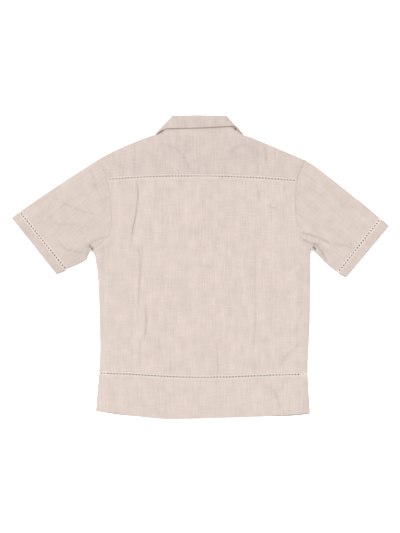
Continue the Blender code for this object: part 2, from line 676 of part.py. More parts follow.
def collar_ribs():
    """The collar's cross-sections, from the left front end round the back of the neck to the right front end.

    Each has the plan points where the stand is sewn on, where it rolls over and where the fall ends, the turn
    from the back layer (0) to the front layer (180), and how far the fall stands off.
    """
    ribs = []
    centre = np.array(CENTRE_FRONT[0], float)
    back = even(NECK_BACK, YOKE_FILLS[1])
    fall = even(FALL_EDGE, 40)
    for side, sign in (("left", -1), ("right", 1)):
        data = SIDES[side]
        top, low, point = (np.array(data[k], float) for k in ("fold top", "fold low", "wing point"))
        neck = front_neck(side)
        meet = centre + (sign * 1.5, 15)
        front = []
        for k, root in enumerate(neck[1:], 1):
            t = k / (len(neck) - 1)
            roll = top + (meet - top) * t
            root = root + (sign * 1.5 * t, 0)
            end = low + (point - low) * t
            front.append((root, roll, end, 180.0, SEAM_GAP, SEAM_GAP))
        turn = []
        for angle in (22.0, 56.0, 90.0, 124.0, 158.0):
            gap = SEAM_GAP + (SIDE_FALL_GAP - SEAM_GAP) * (1 - angle / 180)
            turn.append((neck[0], top, low, angle, SEAM_GAP, gap))
        ribs.append(turn + front)
    behind = []
    for k, root in enumerate(back):
        t = k / (len(back) - 1)
        left_top, right_top = (np.array(SIDES[s]["fold top"], float) for s in SIDES)
        roll = left_top + (right_top - left_top) * t
        end = fall[int(round(t * 40))]
        lift = math.sin(math.pi * t)
        behind.append((root, roll, end, 0.0, SEAM_GAP + (ROLL_GAP - SEAM_GAP) * lift,
                       SIDE_FALL_GAP + (FALL_GAP - SIDE_FALL_GAP) * lift))
    return ribs[0][::-1], behind, ribs[1]


def make_collar(cloth):
    """A band folded over at its roll line: the stand inside, the fall outside."""
    left, behind, right = collar_ribs()
    marked = [(rib, "left") for rib in left] + [(rib, None) for rib in behind] + [(rib, "right") for rib in right]
    rings = []
    for (root, roll, end, angle, roll_gap, end_gap), side in marked:
        out = roll - (root + end) / 2
        out /= np.linalg.norm(out)
        root = root + (roll - root) / np.linalg.norm(roll - root) * 0.5
        sewn, half = root, (root + roll) / 2
        half_fall = (roll + end) / 2
        half_gap = (roll_gap + end_gap) / 2
        outer, inner = (2 * CLOTH + roll_gap) / 2, roll_gap / 2
        section = [(sewn, -CLOTH), (half, -CLOTH), (roll, -CLOTH)]
        for turn in (45, 90, 135):
            turn = math.radians(turn)
            section.append((roll + out * outer * math.sin(turn), inner - outer * math.cos(turn)))
        section += [(roll, roll_gap + CLOTH), (half_fall, half_gap + CLOTH), (end, end_gap + CLOTH)]
        section += [(end, end_gap), (half_fall, half_gap), (roll, roll_gap), (roll + out * inner, inner)]
        section += [(roll, 0.0), (half, 0.0), (sewn, 0.0)]
        ring = []
        for point, height in section:
            if side is None:
                ring.append((*point, back_under(*root) + CLOTH + height))
                continue
            angle_rad = math.radians(angle)
            away = np.array(SIDES[side]["fold out"]) * (SIDE_STAND + height) * math.sin(angle_rad)
            ring.append((*(point + away), SIDE_MIDDLE + (SIDE_STAND + height) * math.cos(angle_rad)))
        rings.append(ring)
    size = len(rings[0])
    faces = [(j * size + k, j * size + (k + 1) % size, (j + 1) * size + (k + 1) % size, (j + 1) * size + k)
             for j in range(len(rings) - 1) for k in range(size)]
    for start in (0, (len(rings) - 1) * size):
        for a, b in (((0, 1, 14, 15)), ((1, 2, 13, 14))), (((2, 3, 12, 13)), ((3, 4, 5, 12))), \
                (((5, 6, 11, 12)), ((6, 7, 10, 11))):
            faces += [tuple(start + k for k in a), tuple(start + k for k in b)]
        faces.append(tuple(start + k for k in (7, 8, 9, 10)))
    return solid("collar", [p for ring in rings for p in ring], faces, cloth)


def make_buttons(shell):
    """Flat buttons that lie on the surface, under the lapped fronts."""
    for k in range(BUTTON_COUNT):
        y = BUTTON_TOP_Y - k * BUTTON_PITCH
        x = -past_centre(0, y)
        bm = bmesh.new()
        bmesh.ops.create_cone(bm, cap_ends=True, segments=20, radius1=BUTTON_RADIUS * METRES,
                              radius2=BUTTON_RADIUS * METRES, depth=BUTTON_THICK * METRES)
        mesh = bpy.data.meshes.new(f"button_{k + 1}")
        bm.to_mesh(mesh)
        bm.free()
        obj = bpy.data.objects.new(f"button_{k + 1}", mesh)
        obj.location = (x * METRES, y * METRES, BUTTON_THICK / 2 * METRES)
        obj.data.materials.append(shell)
        bpy.context.scene.collection.objects.link(obj)


def main():
    for obj in list(bpy.data.objects):
        bpy.data.objects.remove(obj)
    cloth = material("linen", LINEN, 0.9)
    thread = material("tape_thread", THREAD, 0.8)
    shell = material("button_shell", SHELL, 0.35)
    arms, sides = make_back(cloth, thread)
    make_fronts(arms, sides, cloth, thread)
    for side in SIDES:
        make_sleeve(side, arms, cloth, thread)
    make_collar(cloth)
    make_buttons(shell)


main()
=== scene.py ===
import math
from collections import namedtuple
from functools import partial

import bmesh
import bpy
import numpy as np
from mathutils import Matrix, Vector


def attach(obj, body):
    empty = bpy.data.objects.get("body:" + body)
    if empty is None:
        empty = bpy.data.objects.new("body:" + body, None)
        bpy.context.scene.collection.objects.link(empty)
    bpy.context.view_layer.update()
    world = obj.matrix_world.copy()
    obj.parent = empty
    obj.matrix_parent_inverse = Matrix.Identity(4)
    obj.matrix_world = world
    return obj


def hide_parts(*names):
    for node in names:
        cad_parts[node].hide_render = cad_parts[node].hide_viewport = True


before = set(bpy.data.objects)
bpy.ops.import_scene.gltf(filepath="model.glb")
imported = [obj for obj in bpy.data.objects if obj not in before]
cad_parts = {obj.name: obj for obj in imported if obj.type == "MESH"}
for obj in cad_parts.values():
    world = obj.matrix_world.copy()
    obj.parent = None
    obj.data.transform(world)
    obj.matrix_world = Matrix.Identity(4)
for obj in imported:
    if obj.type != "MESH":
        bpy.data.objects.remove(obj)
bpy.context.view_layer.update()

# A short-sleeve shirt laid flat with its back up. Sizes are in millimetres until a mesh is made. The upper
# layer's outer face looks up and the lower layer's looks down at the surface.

METRES = 0.001
BODY = "root"

# Sizes shared with the solids
CLOTH = 1.3
SEAM_GAP = 0.3
LAYER = CLOTH + SEAM_GAP
PUFF = 3.2
EDGE_ROLL = 38.0
NECK_PULL = 0.55
NECK_REACH = 60.0
COLLAR_MARGIN = 22.0
COLLAR_SLOPE = 34.0
TAPE_WIDTH = 9.0
OVERLAP_HALF = 16.0
PLACKET_HALF = 24.0
PLACKET_SLOPE = 26.0
BUTTON_COUNT = 6
BUTTON_THICK = 2.0
BUTTON_RISE = BUTTON_THICK + SEAM_GAP
BUTTON_TOP_Y = 246.0
BUTTON_PITCH = 92.0
ROLL_GAP = 1.0
FALL_GAP = 1.8
SIDE_FALL_GAP = 1.4
SIDE_MIDDLE = LAYER + CLOTH + 0.2
SIDE_STAND = CLOTH + 0.2

# Sizes of the finished surface
SHEET = 0.6
CLEAR = 0.3
EDGE_MIDDLE = 1.45
EDGE_INSET = 0.06
FOLD_ROUND = 2.4
HEM_FOLD = 1.2
HEM_TURN = 22.0
SEAM_DITCH = 0.35
DITCH_HALF = 0.7
SEAM_RIDGE = 0.22
RIDGE_AWAY = 3.4
RIDGE_HALF = 2.0
LAP_RISE = 0.9
LAP_SLOPE = 60.0
ROOT_INSET = 0.5
FALL_PUFF = 0.5
WING_APART = 1.5
WING_ROLL_END = 15
CENTRE_AT_TAPE = 5.0
CREASE_WANDER = 0.6
CREASE_REACH = 45.0
UPPER_FADE = 16.0
LOWER_FADE = 14.0

# Distances between the points of the cloth's grids
STEP = 3.2
ROW_STEP = 4.2
YOKE_STEP = 2.3
BAND_STEP = 2.6
SLEEVE_STEP = 2.5
CREASE_STEP = 1.1
HIDDEN_STEP = 5.0

# Sewing
THREAD = 0.2
STITCH = 2.7
STITCH_PITCH = 3.4
STITCH_DIP = np.array([-0.3, 0.0, 0.1, 0.0, -0.3])
EDGE_STITCH = 1.8
HOLE = 3.1
SLEEVE_HOLE = 2.6
HOLE_PITCH = 7.8
RAIL = 2.0
STRAND = 0.4
STRANDS = 11
STRAND_GAP = 0.7
HOLES_VARY = 0.14
CORD_STEP = 0.78
WRAPPING = 0.07
BEADS = 0.16
# The cords beside the holes: distance from the row's middle, depth under the cloth's face, radius, shares of
# the wrapping and of the beads in it, and flattening
CORDS = [(RAIL, 0.28, 0.8, 1, 1, 0.55), (RAIL + 1.35, 0.3, 0.86, 1, 0, 0.5),
         (RAIL + 2.3, 0.34, 0.5, 0, 0, 0.6)]

# A button's section, and a bar of thread in its middle: distance from the middle, and height
BUTTON_PROFILE = [(3.0, 0.45), (3.9, 0.3), (4.4, 0.02), (5.0, 0.05), (5.4, 0.5), (5.5, 1.0), (5.35, 1.6),
                  (4.9, 1.95), (3.6, 2.0)]
BUTTON_SIDES = 40
BAR = [(-1.5, 0.5), (-0.8, 0.12), (0.8, 0.12), (1.5, 0.5)]
BAR_APART = 0.9
BAR_THREAD = 0.28
BUTTONHOLE_WIDE = 1.0
BUTTONHOLE_LONG = 7.5

SIDES = {
    "left": {
        "armhole": [(-254.3, 270), (-241, 243), (-232.5, 214), (-226, 181), (-222.5, 143), (-222, 113),
                    (-227, 83), (-244, 61), (-273.5, 41)],
        "tape end y": 219.0,
        "body side": [(-273.5, 41), (-265, 29.5), (-260.5, 5), (-256, -37), (-253.3, -97), (-251.3, -177),
                      (-251.6, -227), (-254.3, -265)],
        "band side": [(-254.3, -265), (-255.5, -286), (-258.6, -320), (-261, -359.5)],
        "sleeve top": [(-254.3, 270), (-306, 237), (-386, 184.5), (-452, 138.2)],
        "cuff top": [(-452, 138.2), (-472, 122.3)],
        "sleeve under": [(-273.5, 41), (-281, 30), (-285.5, 18.5), (-306, 7), (-335.4, -7)],
        "cuff under": [(-335.4, -7), (-345, -11.2), (-360, -18.3)],
        "shoulder": [(-254.3, 270), (-226, 285.5), (-186, 304), (-146, 320.3), (-126, 327.2),
                     (-116.5, 330.2)],
        "shoulder in collar": [(-107, 333.4), (-101, 338)],
        "neck corner": (-94, 344),
        "fold top": (-67.3, 377.4),
        "fold low": (-110.4, 331.5),
        "fold out": (-0.72, 0.69),
        "wing point": (-54, 262),
    },
    "right": {
        "armhole": [(262.3, 267.5), (249, 238), (240.5, 214), (237.5, 181), (237.8, 147), (240, 113),
                    (247, 85), (259, 62), (277.8, 42)],
        "tape end y": 216.0,
        "body side": [(277.8, 42), (275.6, 36), (275, -17), (274, -77), (273, -137), (270.8, -187),
                      (268.6, -230), (268, -268)],
        "band side": [(268, -268), (268.9, -290), (271.6, -337), (273, -365.5)],
        "sleeve top": [(262.3, 267.5), (294, 247), (354, 200), (414, 152.5), (450, 121.4)],
        "cuff top": [(450, 121.4), (471.5, 102.3)],
        "sleeve under": [(277.8, 42), (286, 37), (300.5, 23), (318, 5.5), (343.5, -14)],
        "cuff under": [(343.5, -14), (350, -18.8), (364, -26.5)],
        "shoulder": [(262.3, 267.5), (214, 287.8), (174, 304.8), (134, 321.3), (108, 330.3)],
        "shoulder in collar": [(101, 334), (94.5, 339.6)],
        "neck corner": (88, 346),
        "fold top": (61.7, 377.4),
        "fold low": (103.3, 331.8),
        "fold out": (0.74, 0.67),
        "wing point": (47, 262),
    },
}
NECK_BACK = [(-94, 344), (-70, 351.5), (-36, 355.8), (-3.5, 356.8), (30, 356.3), (64, 352.8), (88, 346)]
NECK_FRONT_Y = 290.0
FALL_EDGE = [(-110.4, 331.5), (-98, 340.6), (-88, 344.6), (-76, 346.2), (-36, 347.4), (-3.5, 348),
             (26, 349.4), (70, 352), (90, 351.6), (97, 345), (103.3, 331.8)]
YOKE_SEAM = [(-235, 219), (-170, 223.4), (-100, 226.6), (-20, 227.2), (60, 226.4), (150, 222.4), (242, 216)]
HEM_SEAM = [(-254.3, -265), (-186, -267.4), (-126, -271), (-60, -274.4), (0, -275.6), (60, -275),
            (124, -272.6), (200, -269.4), (268, -268)]
HEM_BACK = [(-261, -359.5), (-206, -367.3), (-166, -372.3), (-126, -376.8), (-86, -379.6), (-46, -379.5),
            (34, -377.3), (114, -375), (194, -371.8), (234, -369.3), (273, -365.5)]
HEM_FRONT = [(-261, -360.5), (-206, -369), (-166, -372.9), (-126, -375.6), (-46, -377), (34, -375.6),
             (114, -374), (194, -373.2), (234, -371.8), (273, -367.5)]
CENTRE_FRONT = [(-3.5, NECK_FRONT_Y), (6.5, -376.0)]

# Each crease is a step in the cloth along its points: steep over the width, and easing back over the gentle
# width on the left of its direction. A depth above 0 steps down to the left, and one below 0 steps up. Along
# it the cloth's colour is darkened by the share of painted shade, for the shade in the fold. A depth of 0.02
# is a line of painted shade that is hardly stepped, as along the armhole seams and under the collar's edge.
Crease = namedtuple("Crease", "points depth width gentle worn")
UPPER_CREASES = [
    ([(-161, 219), (-155.5, 190), (-157, 165), (-162, 130), (-169, 98), (-171.5, 66),
      (-172, 46)], 1.8, 2.3, 15, 0.14),
    ([(-155, 57), (-149.5, 18), (-153.5, -50), (-153.5, -112)], 1.3, 3.0, 16, 0.07),
    ([(-137.5, -98), (-135.5, -130), (-136.5, -162), (-145.5, -178)], 1.8, 3.6, 14, 0.075),
    ([(-146, -175), (-152, -196), (-152, -257)], 0.7, 2.2, 12, 0.044),
    ([(-102.5, -174), (-100.5, -214)], 0.8, 3.0, 14, 0.047),
    ([(-164.5, 300), (-166.5, 262), (-164.5, 226)], 0.6, 4.0, 16, 0.062),
    ([(142.5, 308), (142.5, 265), (142.5, 222)], 0.7, 2.2, 9, 0.056),
    ([(162, 303), (165, 255)], 0.8, 2.4, 9, 0.112),
    ([(140, 213), (150, 160)], 0.8, 2.6, 20, 0.066),
    ([(206, 208), (216, 168)], 0.75, 2.8, 9, 0.11),
    ([(165, 158), (177, 150), (192, 144)], -1.2, 2.4, 14, 0.145),
    ([(136, 48), (138, -102), (132.5, -182), (131.5, -240)], 0.7, 3.0, 12, 0.025),
    ([(41, -188), (42.5, -262), (39, -304)], 0.6, 1.7, 8, 0.115),
    ([(195, -252), (216, -222), (257, -182)], -0.7, 3.4, 16, 0.081),
    ([(180, -303), (190, -327), (204, -357)], 0.85, 3.6, 18, 0.088),
    ([(-24, 238), (-41, 275), (-69, 300), (-103, 309)], -1.1, 3.0, 14, 0.135),
    ([(70, 288), (92, 299), (122, 305)], -0.7, 2.6, 12, 0.115),
    ([(-168, 74), (-90, 67), (-8, 57)], -0.3, 6.0, 7, 0.013),
    ([(-10, 8.5), (31, -4.5)], -0.9, 4.0, 12, 0.1),
    ([(57, 220), (61, 150), (55, 60)], 0.25, 3.0, 16, 0.044),
    ([(185, 40), (191, -60), (186, -160)], 0.3, 4.0, 16, 0.019),
    ([(-277, 247), (-265, 214), (-257, 181)], 0.9, 4.6, 12, 0.075),
    ([(-378, 180), (-341, 158), (-289, 138), (-232, 124)], -1.0, 3.4, 18, 0.062),
    ([(-388, 130), (-354, 108), (-300, 107)], -0.5, 4.0, 12, 0.056),
    ([(-357, 67), (-335, 44), (-289, 33)], -1.5, 3.4, 18, 0.1),
    ([(-286, 52), (-271, 63), (-222, 80)], -1.2, 3.0, 14, 0.06),
    ([(-277, 57), (-254, 39), (-222, 68)], -0.5, 2.4, 8, 0.05),
    ([(-240, 62), (-246, 10), (-247, -40)], 1.0, 7.0, 16, 0.03),
    ([(248, 86), (280, 78), (308, 68), (330, 51)], -1.8, 3.2, 16, 0.11),
    ([(252, 70), (278, 59), (297, 55)], -1.9, 2.4, 8, 0.155),
    ([(290, 54), (302, 39), (317, 14)], 2.4, 2.9, 14, 0.2),
    ([(330, 58), (355, 54), (382, 47)], -1.0, 3.2, 15, 0.09),
    ([(300, 112), (340, 118), (392, 148)], -0.35, 4.0, 12, 0.019),
    ([(-252, 268), (-241, 243), (-232.5, 214), (-226, 181), (-222.5, 143), (-222, 113), (-226, 86),
      (-238, 67)], 0.02, 1.7, 5, 0.028),
    ([(260, 265), (249, 238), (240.5, 214), (237.5, 181), (237.8, 147), (240, 113), (246, 88),
      (257, 64)], 0.02, 1.7, 5, 0.07),
    ([(291, 45), (303, 30), (318, 11)], 0.2, 7.0, 8, 0.065),
    ([(281.5, 52), (285, 46.5), (290, 43)], 2.6, 2.4, 4, 0.85),
    ([(-278, 54), (-273, 47), (-268, 39)], 2.4, 2.2, 4, 0.7),
    ([(-280, 53), (-283, 38), (-285.5, 22)], 0.8, 2.6, 9, 0.125),
    ([(-98, 340), (-78, 343), (-48, 345), (-15, 346), (20, 347.5), (50, 349.5), (78, 351),
      (98, 348)], 0.02, 2.6, 4, 0.17),
    ([(80, 350), (85, 348), (89, 344.5), (92, 341)], 0.02, 3.2, 4, 0.85),
    ([(-103, 334), (-97, 338), (-90, 340.5)], 0.02, 3.0, 4, 0.5),
]
LOWER_CREASES = [
    ([(-150, 190), (-158, 90), (-150, -60)], -0.6, 3.6, 12, 0.03),
    ([(146, 180), (152, 20), (142, -180)], -0.6, 3.6, 12, 0.03),
    ([(-205, 250), (-150, 236), (-108, 262)], -0.6, 4.0, 12, 0.03),
    ([(206, 248), (160, 232), (104, 256)], -0.6, 4.0, 12, 0.03),
    ([(-110, -120), (-96, -230)], -0.5, 3.6, 10, 0.03),
    ([(92, -90), (104, -236)], -0.5, 3.6, 10, 0.03),
    ([(-372, 150), (-320, 120), (-250, 118)], -0.7, 4.0, 12, 0.03),
    ([(376, 136), (330, 104), (262, 112)], -0.7, 4.0, 12, 0.03),
]
# Slow waves of the cloth: direction in degrees, length, height and phase
WAVES = [(12, 96, 0.16, 0.4), (98, 74, 0.10, 1.9), (47, 58, 0.07, 3.1), (151, 131, 0.18, 5.0),
         (83, 41, 0.045, 2.2), (8, 33, 0.035, 0.9), (124, 47, 0.05, 4.1), (63, 166, 0.2, 2.7)]
# Stretches of the back's width that hold its main creases, as shares
BACK_CREASES = [(0.11, 0.24), (0.28, 0.30), (0.555, 0.572), (0.725, 0.82), (0.935, 0.962)]

# Looks. Sizes in them are in metres.
DARK_LINEN = (0.595, 0.503, 0.457)
LIGHT_LINEN = (0.922, 0.788, 0.72)
# The dark colour mixed into the linen along the creases, seams and collar's edge: painted shade
PAINTED_SHADE_COLOUR = (0.05, 0.035, 0.03, 1)
OPENWORK_COLOUR = (0.9, 0.792, 0.723)
SEWING_COLOUR = (0.86, 0.75, 0.68)
WEAVE_PITCH = 0.00105
# Warp, weft, slubs and clouds of the linen: size across and along, detail, seed, and weight in the colour
LINEN_NOISES = [(0.0013, 0.034, 2.0, 3.0, 0.52), (0.030, 0.0012, 2.0, 17.0, 0.6),
                (0.0021, 0.090, 1.0, 41.0, 0.3), (0.024, 0.031, 3.0, 7.0, 0.55)]

# Stage. The strips are measured in millimetres, and the rest in metres.
STRIP_HALF = 16
STRIP_HEIGHT = -0.3
FLOOR_SIZE = 30
FLOOR_HEIGHT = -0.0006
FLOOR_GLOW = 0.75
DOME_OVERHEAD = 0.96
DOME_SIDES = 0.09
SUN_POWER = 1.62
SUN_DEGREES = 18
SUN_FROM = (-0.36, 0.42, 0.83)
SENSOR = 36.0
CAMERA_PLACE = (-0.00125, 0.00125, 3.504)
CAMERA_ABOVE_SHIRT = 3.5
FRAME_TALL = 1.3325


# Plan curves
def spline(points, shares):
    """Points of the smooth curve through the given ones, at these shares of its length."""
    p = np.array(points, float)
    ends = np.vstack([2 * p[0] - p[1], p, 2 * p[-1] - p[-2]])
    fine = []
    t = np.linspace(0, 1, 16, endpoint=False)[:, None]
    for a, b, c, d in zip(ends, ends[1:], ends[2:], ends[3:]):
        fine.append(0.5 * (2 * b + (c - a) * t + (2 * a - 5 * b + 4 * c - d) * t**2
                           + (3 * b - a - 3 * c + d) * t**3))
    return along(np.vstack(fine + [p[-1:]]), shares)


def along(line, shares):
    """Points at these shares of the length of a line of points, in two or three dimensions."""
    length = lengths(line)
    at = np.array(shares) * length[-1]
    return np.stack([np.interp(at, length, line[:, k]) for k in range(line.shape[1])], 1)


def even(points, steps):
    """Points at equal steps along the smooth curve through the given ones."""
    return spline(points, np.linspace(0, 1, steps + 1))


def straight(a, b, count, first=0.0, last=1.0):
    """Points at equal steps on the straight line from a to b."""
    return a + (b - a) * np.linspace(first, last, count)[:, None]


def lengths(line):
    """How long a line of points is up to each of them."""
    return np.concatenate([[0], np.cumsum(np.linalg.norm(np.diff(line, axis=0), axis=1))])


def line_length(line):
    return float(lengths(line)[-1])


def between_x(points, x0, x1):
    """The part of a curve between two x values."""
    fine = even(points, 400)
    xs = np.linspace(x0, x1, 161)
    return np.stack([xs, np.interp(xs, fine[:, 0], fine[:, 1])], 1)


def share_at_y(points, y):
    fine = even(points, 400)
    return float(np.interp(-y, -fine[:, 1], np.linspace(0, 1, 401)))


def unit(v):
    """Vectors brought to a length of 1."""
    return v / np.maximum(np.linalg.norm(v, axis=-1, keepdims=True), 1e-9)


def moved_across(points, distance):
    """The line moved sideways, to the left of its own direction."""
    p = np.array(points, float)
    run = unit(np.gradient(p, axis=0))
    return p + distance * np.stack([-run[:, 1], run[:, 0]], 1)


def ease(t):
    t = np.clip(t, 0, 1)
    return t * t * (3 - 2 * t)


def nearest(lines, p):
    """Distance from each point to the nearest of the lines."""
    best = np.full(len(p), 1e9)
    for line in lines:
        for a, b in zip(line[:-1], line[1:]):
            run = b - a
            rel = p - a
            t = np.clip(rel @ run / max(run @ run, 1e-9), 0, 1)
            best = np.minimum(best, np.hypot(*(rel - t[:, None] * run).T))
    return best


def beside(line, p):
    """For each point: its signed distance to the left of a line, and its place along it from 0 to 1."""
    start = lengths(line)
    best = np.full(len(p), 1e9)
    side, place = np.zeros(len(p)), np.zeros(len(p))
    for a, b, s, step in zip(line[:-1], line[1:], start, np.diff(start)):
        run = (b - a) / step
        rel = p - a
        t = rel @ run
        held = np.clip(t, 0, step)
        gap = np.hypot(*(rel - held[:, None] * run).T)
        closer = gap < best
        best[closer] = gap[closer]
        side[closer] = (run[0] * rel[:, 1] - run[1] * rel[:, 0])[closer]
        place[closer] = ((s + t) / start[-1])[closer]
    return side, place


def inside(polygon, p):
    hit = np.zeros(len(p), bool)
    for (x0, y0), (x1, y1) in zip(polygon, np.roll(polygon, -1, axis=0)):
        if y0 != y1:
            crosses = (y0 > p[:, 1]) != (y1 > p[:, 1])
            hit ^= crosses & (p[:, 0] < x0 + (p[:, 1] - y0) * (x1 - x0) / (y1 - y0))
    return hit


# Heights of the two layers
UPPER_CREASES = [Crease(even(points, 10), *rest) for points, *rest in UPPER_CREASES]
LOWER_CREASES = [Crease(even(points, 10), *rest) for points, *rest in LOWER_CREASES]
CLOSED_EDGES = [even(side[name], 12) for side in SIDES.values()
                for name in ("body side", "band side", "sleeve top", "cuff top", "sleeve under", "cuff under",
                             "shoulder")]
NECK_LINE = even(NECK_BACK, 16)
WINGS = [[side[name] for name in ("fold top", "fold low", "wing point")] for side in SIDES.values()]
COLLAR_ZONE = np.array(WINGS[0] + [CENTRE_FRONT[0]] + WINGS[1][::-1], float)


def wing_lift(p):
    """How far the cloth is raised over the collar, which lies between the layers."""
    away = nearest([np.vstack([COLLAR_ZONE, COLLAR_ZONE[:1]])], p)
    away[inside(COLLAR_ZONE, p)] = 0
    return LAYER * ease(1 - (away - COLLAR_MARGIN) / COLLAR_SLOPE)


def past_centre(p):
    """How far each point lies to the right of the centre line of the fronts."""
    (x0, y0), (x1, y1) = CENTRE_FRONT
    return p[:, 0] - (x0 + (x1 - x0) * (p[:, 1] - y0) / (y1 - y0))


def waves(p):
    total = np.zeros(len(p))
    for turn, length, height, phase in WAVES:
        turn = math.radians(turn)
        run = p[:, 0] * math.cos(turn) + p[:, 1] * math.sin(turn)
        total += height * np.sin(2 * math.pi * run / length + phase)
    return total


def crease_marks(creases, p):
    """The height that the creases add at each point, and the share of painted shade that darkens the cloth
    there.
    """
    total, worn = np.zeros(len(p)), np.zeros(len(p))
    for number, c in enumerate(creases):
        line = c.points
        low, high = line.min(0) - CREASE_REACH, line.max(0) + CREASE_REACH
        near = ((p > low) & (p < high)).all(1)
        if not near.any():
            continue
        side, place = beside(line, p[near])
        # the line wanders a little, and the step varies in depth along it
        side = side + CREASE_WANDER * np.sin(9 * place + number)
        fade = ease((place + 0.04) / 0.2) * ease((1.04 - place) / 0.28)
        fade = fade * (1 + 0.2 * np.sin(13 * place + 1.7 * number))
        # painted shade, darkest along the crease's line
        worn[near] += fade * c.worn * np.exp(-abs((side - 0.3) / c.width) ** 1.5)
        side = side - 0.7 * c.width
        total[near] -= fade * c.depth * np.exp(-(side / np.where(side < 0, c.width, c.gentle)) ** 2)
    return total, worn


def under_low(p, over_left=False):
    """Height of the lower layer's outer face, which looks down."""
    d = past_centre(p)
    rise = BUTTON_RISE * ease(1 - (abs(d) - PLACKET_HALF) / PLACKET_SLOPE)
    height = np.maximum(wing_lift(p), rise)
    if over_left:
        height = height + LAYER * ease(1 - (d - PLACKET_HALF) / PLACKET_SLOPE)
    return height


def lower(p, over_left=False):
    edge = nearest(CLOSED_EDGES, p)
    return under_low(p, over_left) + crease_marks(LOWER_CREASES, p)[0] * ease(edge / LOWER_FADE)


def upper(p):
    """Height of the upper layer's outer face."""
    edge = nearest(CLOSED_EDGES, p)
    inner = ease(0.5 + 0.5 * edge / EDGE_ROLL) * 2 - 1
    neck = 1 - NECK_PULL * (1 - ease(nearest([NECK_LINE], p) / NECK_REACH))
    lap = ease(1 - (abs(past_centre(p)) - OVERLAP_HALF) / LAP_SLOPE)
    least = LAYER + wing_lift(p)
    height = least + inner * (PUFF * neck + LAP_RISE * lap + waves(p)) + CLOTH
    height += crease_marks(UPPER_CREASES, p)[0] * ease(edge / UPPER_FADE)
    lapped = abs(past_centre(p)) < OVERLAP_HALF + 2
    below = np.where(lapped, under_low(p, over_left=True), under_low(p))
    return np.maximum(height, below + 2 * SHEET + CLEAR)


def seamed(height, p, seams, sign):
    """The ditch where a piece is sewn to the next one, and the low ridge that the seam's turnings raise."""
    gap = nearest(seams, p)
    ridge = SEAM_RIDGE * np.exp(-((gap - RIDGE_AWAY) / RIDGE_HALF) ** 2)
    return height + sign * (ridge - SEAM_DITCH * np.exp(-(gap / DITCH_HALF) ** 2))


def rounded(height, middle, p, folds):
    """Brings a face round to the middle height at the folded edges."""
    t = 1 - np.minimum(nearest(folds, p), FOLD_ROUND) / FOLD_ROUND
    return middle + (height - middle) * np.sqrt(1 - t * t)


# Grids of cloth
def graded(length, step, close=()):
    """Shares of a length, closer together towards both ends and in the close bands, which are shares too."""
    ends = np.array([0, 0.25, 0.7, 1.3, 2.1, 3.4, 5.2])
    at = [ends[-1]]
    while at[-1] < length - ends[-1]:
        share = at[-1] / length
        at.append(at[-1] + (CREASE_STEP if any(a < share < b for a, b in close) else step))
    inner = ends[-1] + (np.array(at) - at[0]) * (length - 2 * ends[-1]) / (at[-1] - at[0])
    return np.concatenate([ends, inner[1:-1], length - ends[::-1]]) / length


def patch(start, end, left, right, step=STEP, row_step=ROW_STEP, close=(), v=None):
    """Rows of points between four sides. start and end run the same way, and so do left and right."""
    start, end, left, right = (np.array(side, float) for side in (start, end, left, right))
    u = graded((line_length(start) + line_length(end)) / 2, step, close)
    v = graded((line_length(left) + line_length(right)) / 2, row_step) if v is None else v
    start, end, left, right = along(start, u), along(end, u), along(left, v), along(right, v)
    u, v = u[None, :, None], v[:, None, None]
    across = (1 - v) * start[None] + v * end[None]
    down = (1 - u) * left[:, None] + u * right[:, None]
    corners = ((1 - u) * (1 - v) * start[0] + u * (1 - v) * start[-1]
               + (1 - u) * v * end[0] + u * v * end[-1])
    plan = across + down - corners
    for edge, inner in ((np.s_[0], np.s_[1]), (np.s_[-1], np.s_[-2])):
        for flip in (False, True):
            grid = plan.transpose(1, 0, 2) if flip else plan
            grid[edge] += EDGE_INSET * unit(grid[inner] - grid[edge])
    return plan


def grid_faces(rows, columns, flip):
    j, i = np.meshgrid(np.arange(rows - 1), np.arange(columns - 1), indexing="ij")
    a = (j * columns + i).ravel()
    quads = np.stack([a, a + 1, a + columns + 1, a + columns], 1)
    return quads[:, ::-1] if flip else quads


def signed_area(plan):
    loop = np.vstack([plan[0], plan[1:, -1], plan[-1, -2::-1], plan[-2:0:-1, 0]])
    nxt = np.roll(loop, -1, axis=0)
    return float((loop[:, 0] * nxt[:, 1] - loop[:, 1] * nxt[:, 0]).sum()) / 2


def placed(name, data):
    """A new object in the scene."""
    obj = bpy.data.objects.new(name, data)
    bpy.context.scene.collection.objects.link(obj)
    return obj


def make_mesh(name, points, faces, grain, look, creases=None):
    """A mesh object from points in millimetres. grain is each point's place along and across the weave."""
    mesh = bpy.data.meshes.new(name)
    mesh.from_pydata((np.array(points, float) * METRES).tolist(), [], [list(map(int, f)) for f in faces])
    if grain is not None:
        layer = mesh.attributes.new("grain", "FLOAT_VECTOR", "POINT")
        flat = np.zeros((len(points), 3))
        flat[:, :2] = np.array(grain)[:, :2] * METRES
        layer.data.foreach_set("vector", flat.ravel())
    # each point's share of painted shade from the creases
    if creases is not None:
        layer = mesh.attributes.new("worn", "FLOAT", "POINT")
        layer.data.foreach_set("value", crease_marks(creases, np.array(points, float)[:, :2])[1])
    mesh.materials.append(look)
    mesh.shade_smooth()
    obj = placed(name, mesh)
    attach(obj, BODY)
    return obj


def reworked(obj, change):
    """Opens a mesh for one change to its points or faces."""
    shape = bmesh.new()
    shape.from_mesh(obj.data)
    change(shape)
    shape.to_mesh(obj.data)
    shape.free()


def thicken(obj):
    """Gives a sheet its thickness, inwards from its outer face."""
    mod = obj.modifiers.new("thickness", "SOLIDIFY")
    mod.thickness = SHEET * METRES
    mod.offset = -1
    mod.use_even_offset = False
    return obj


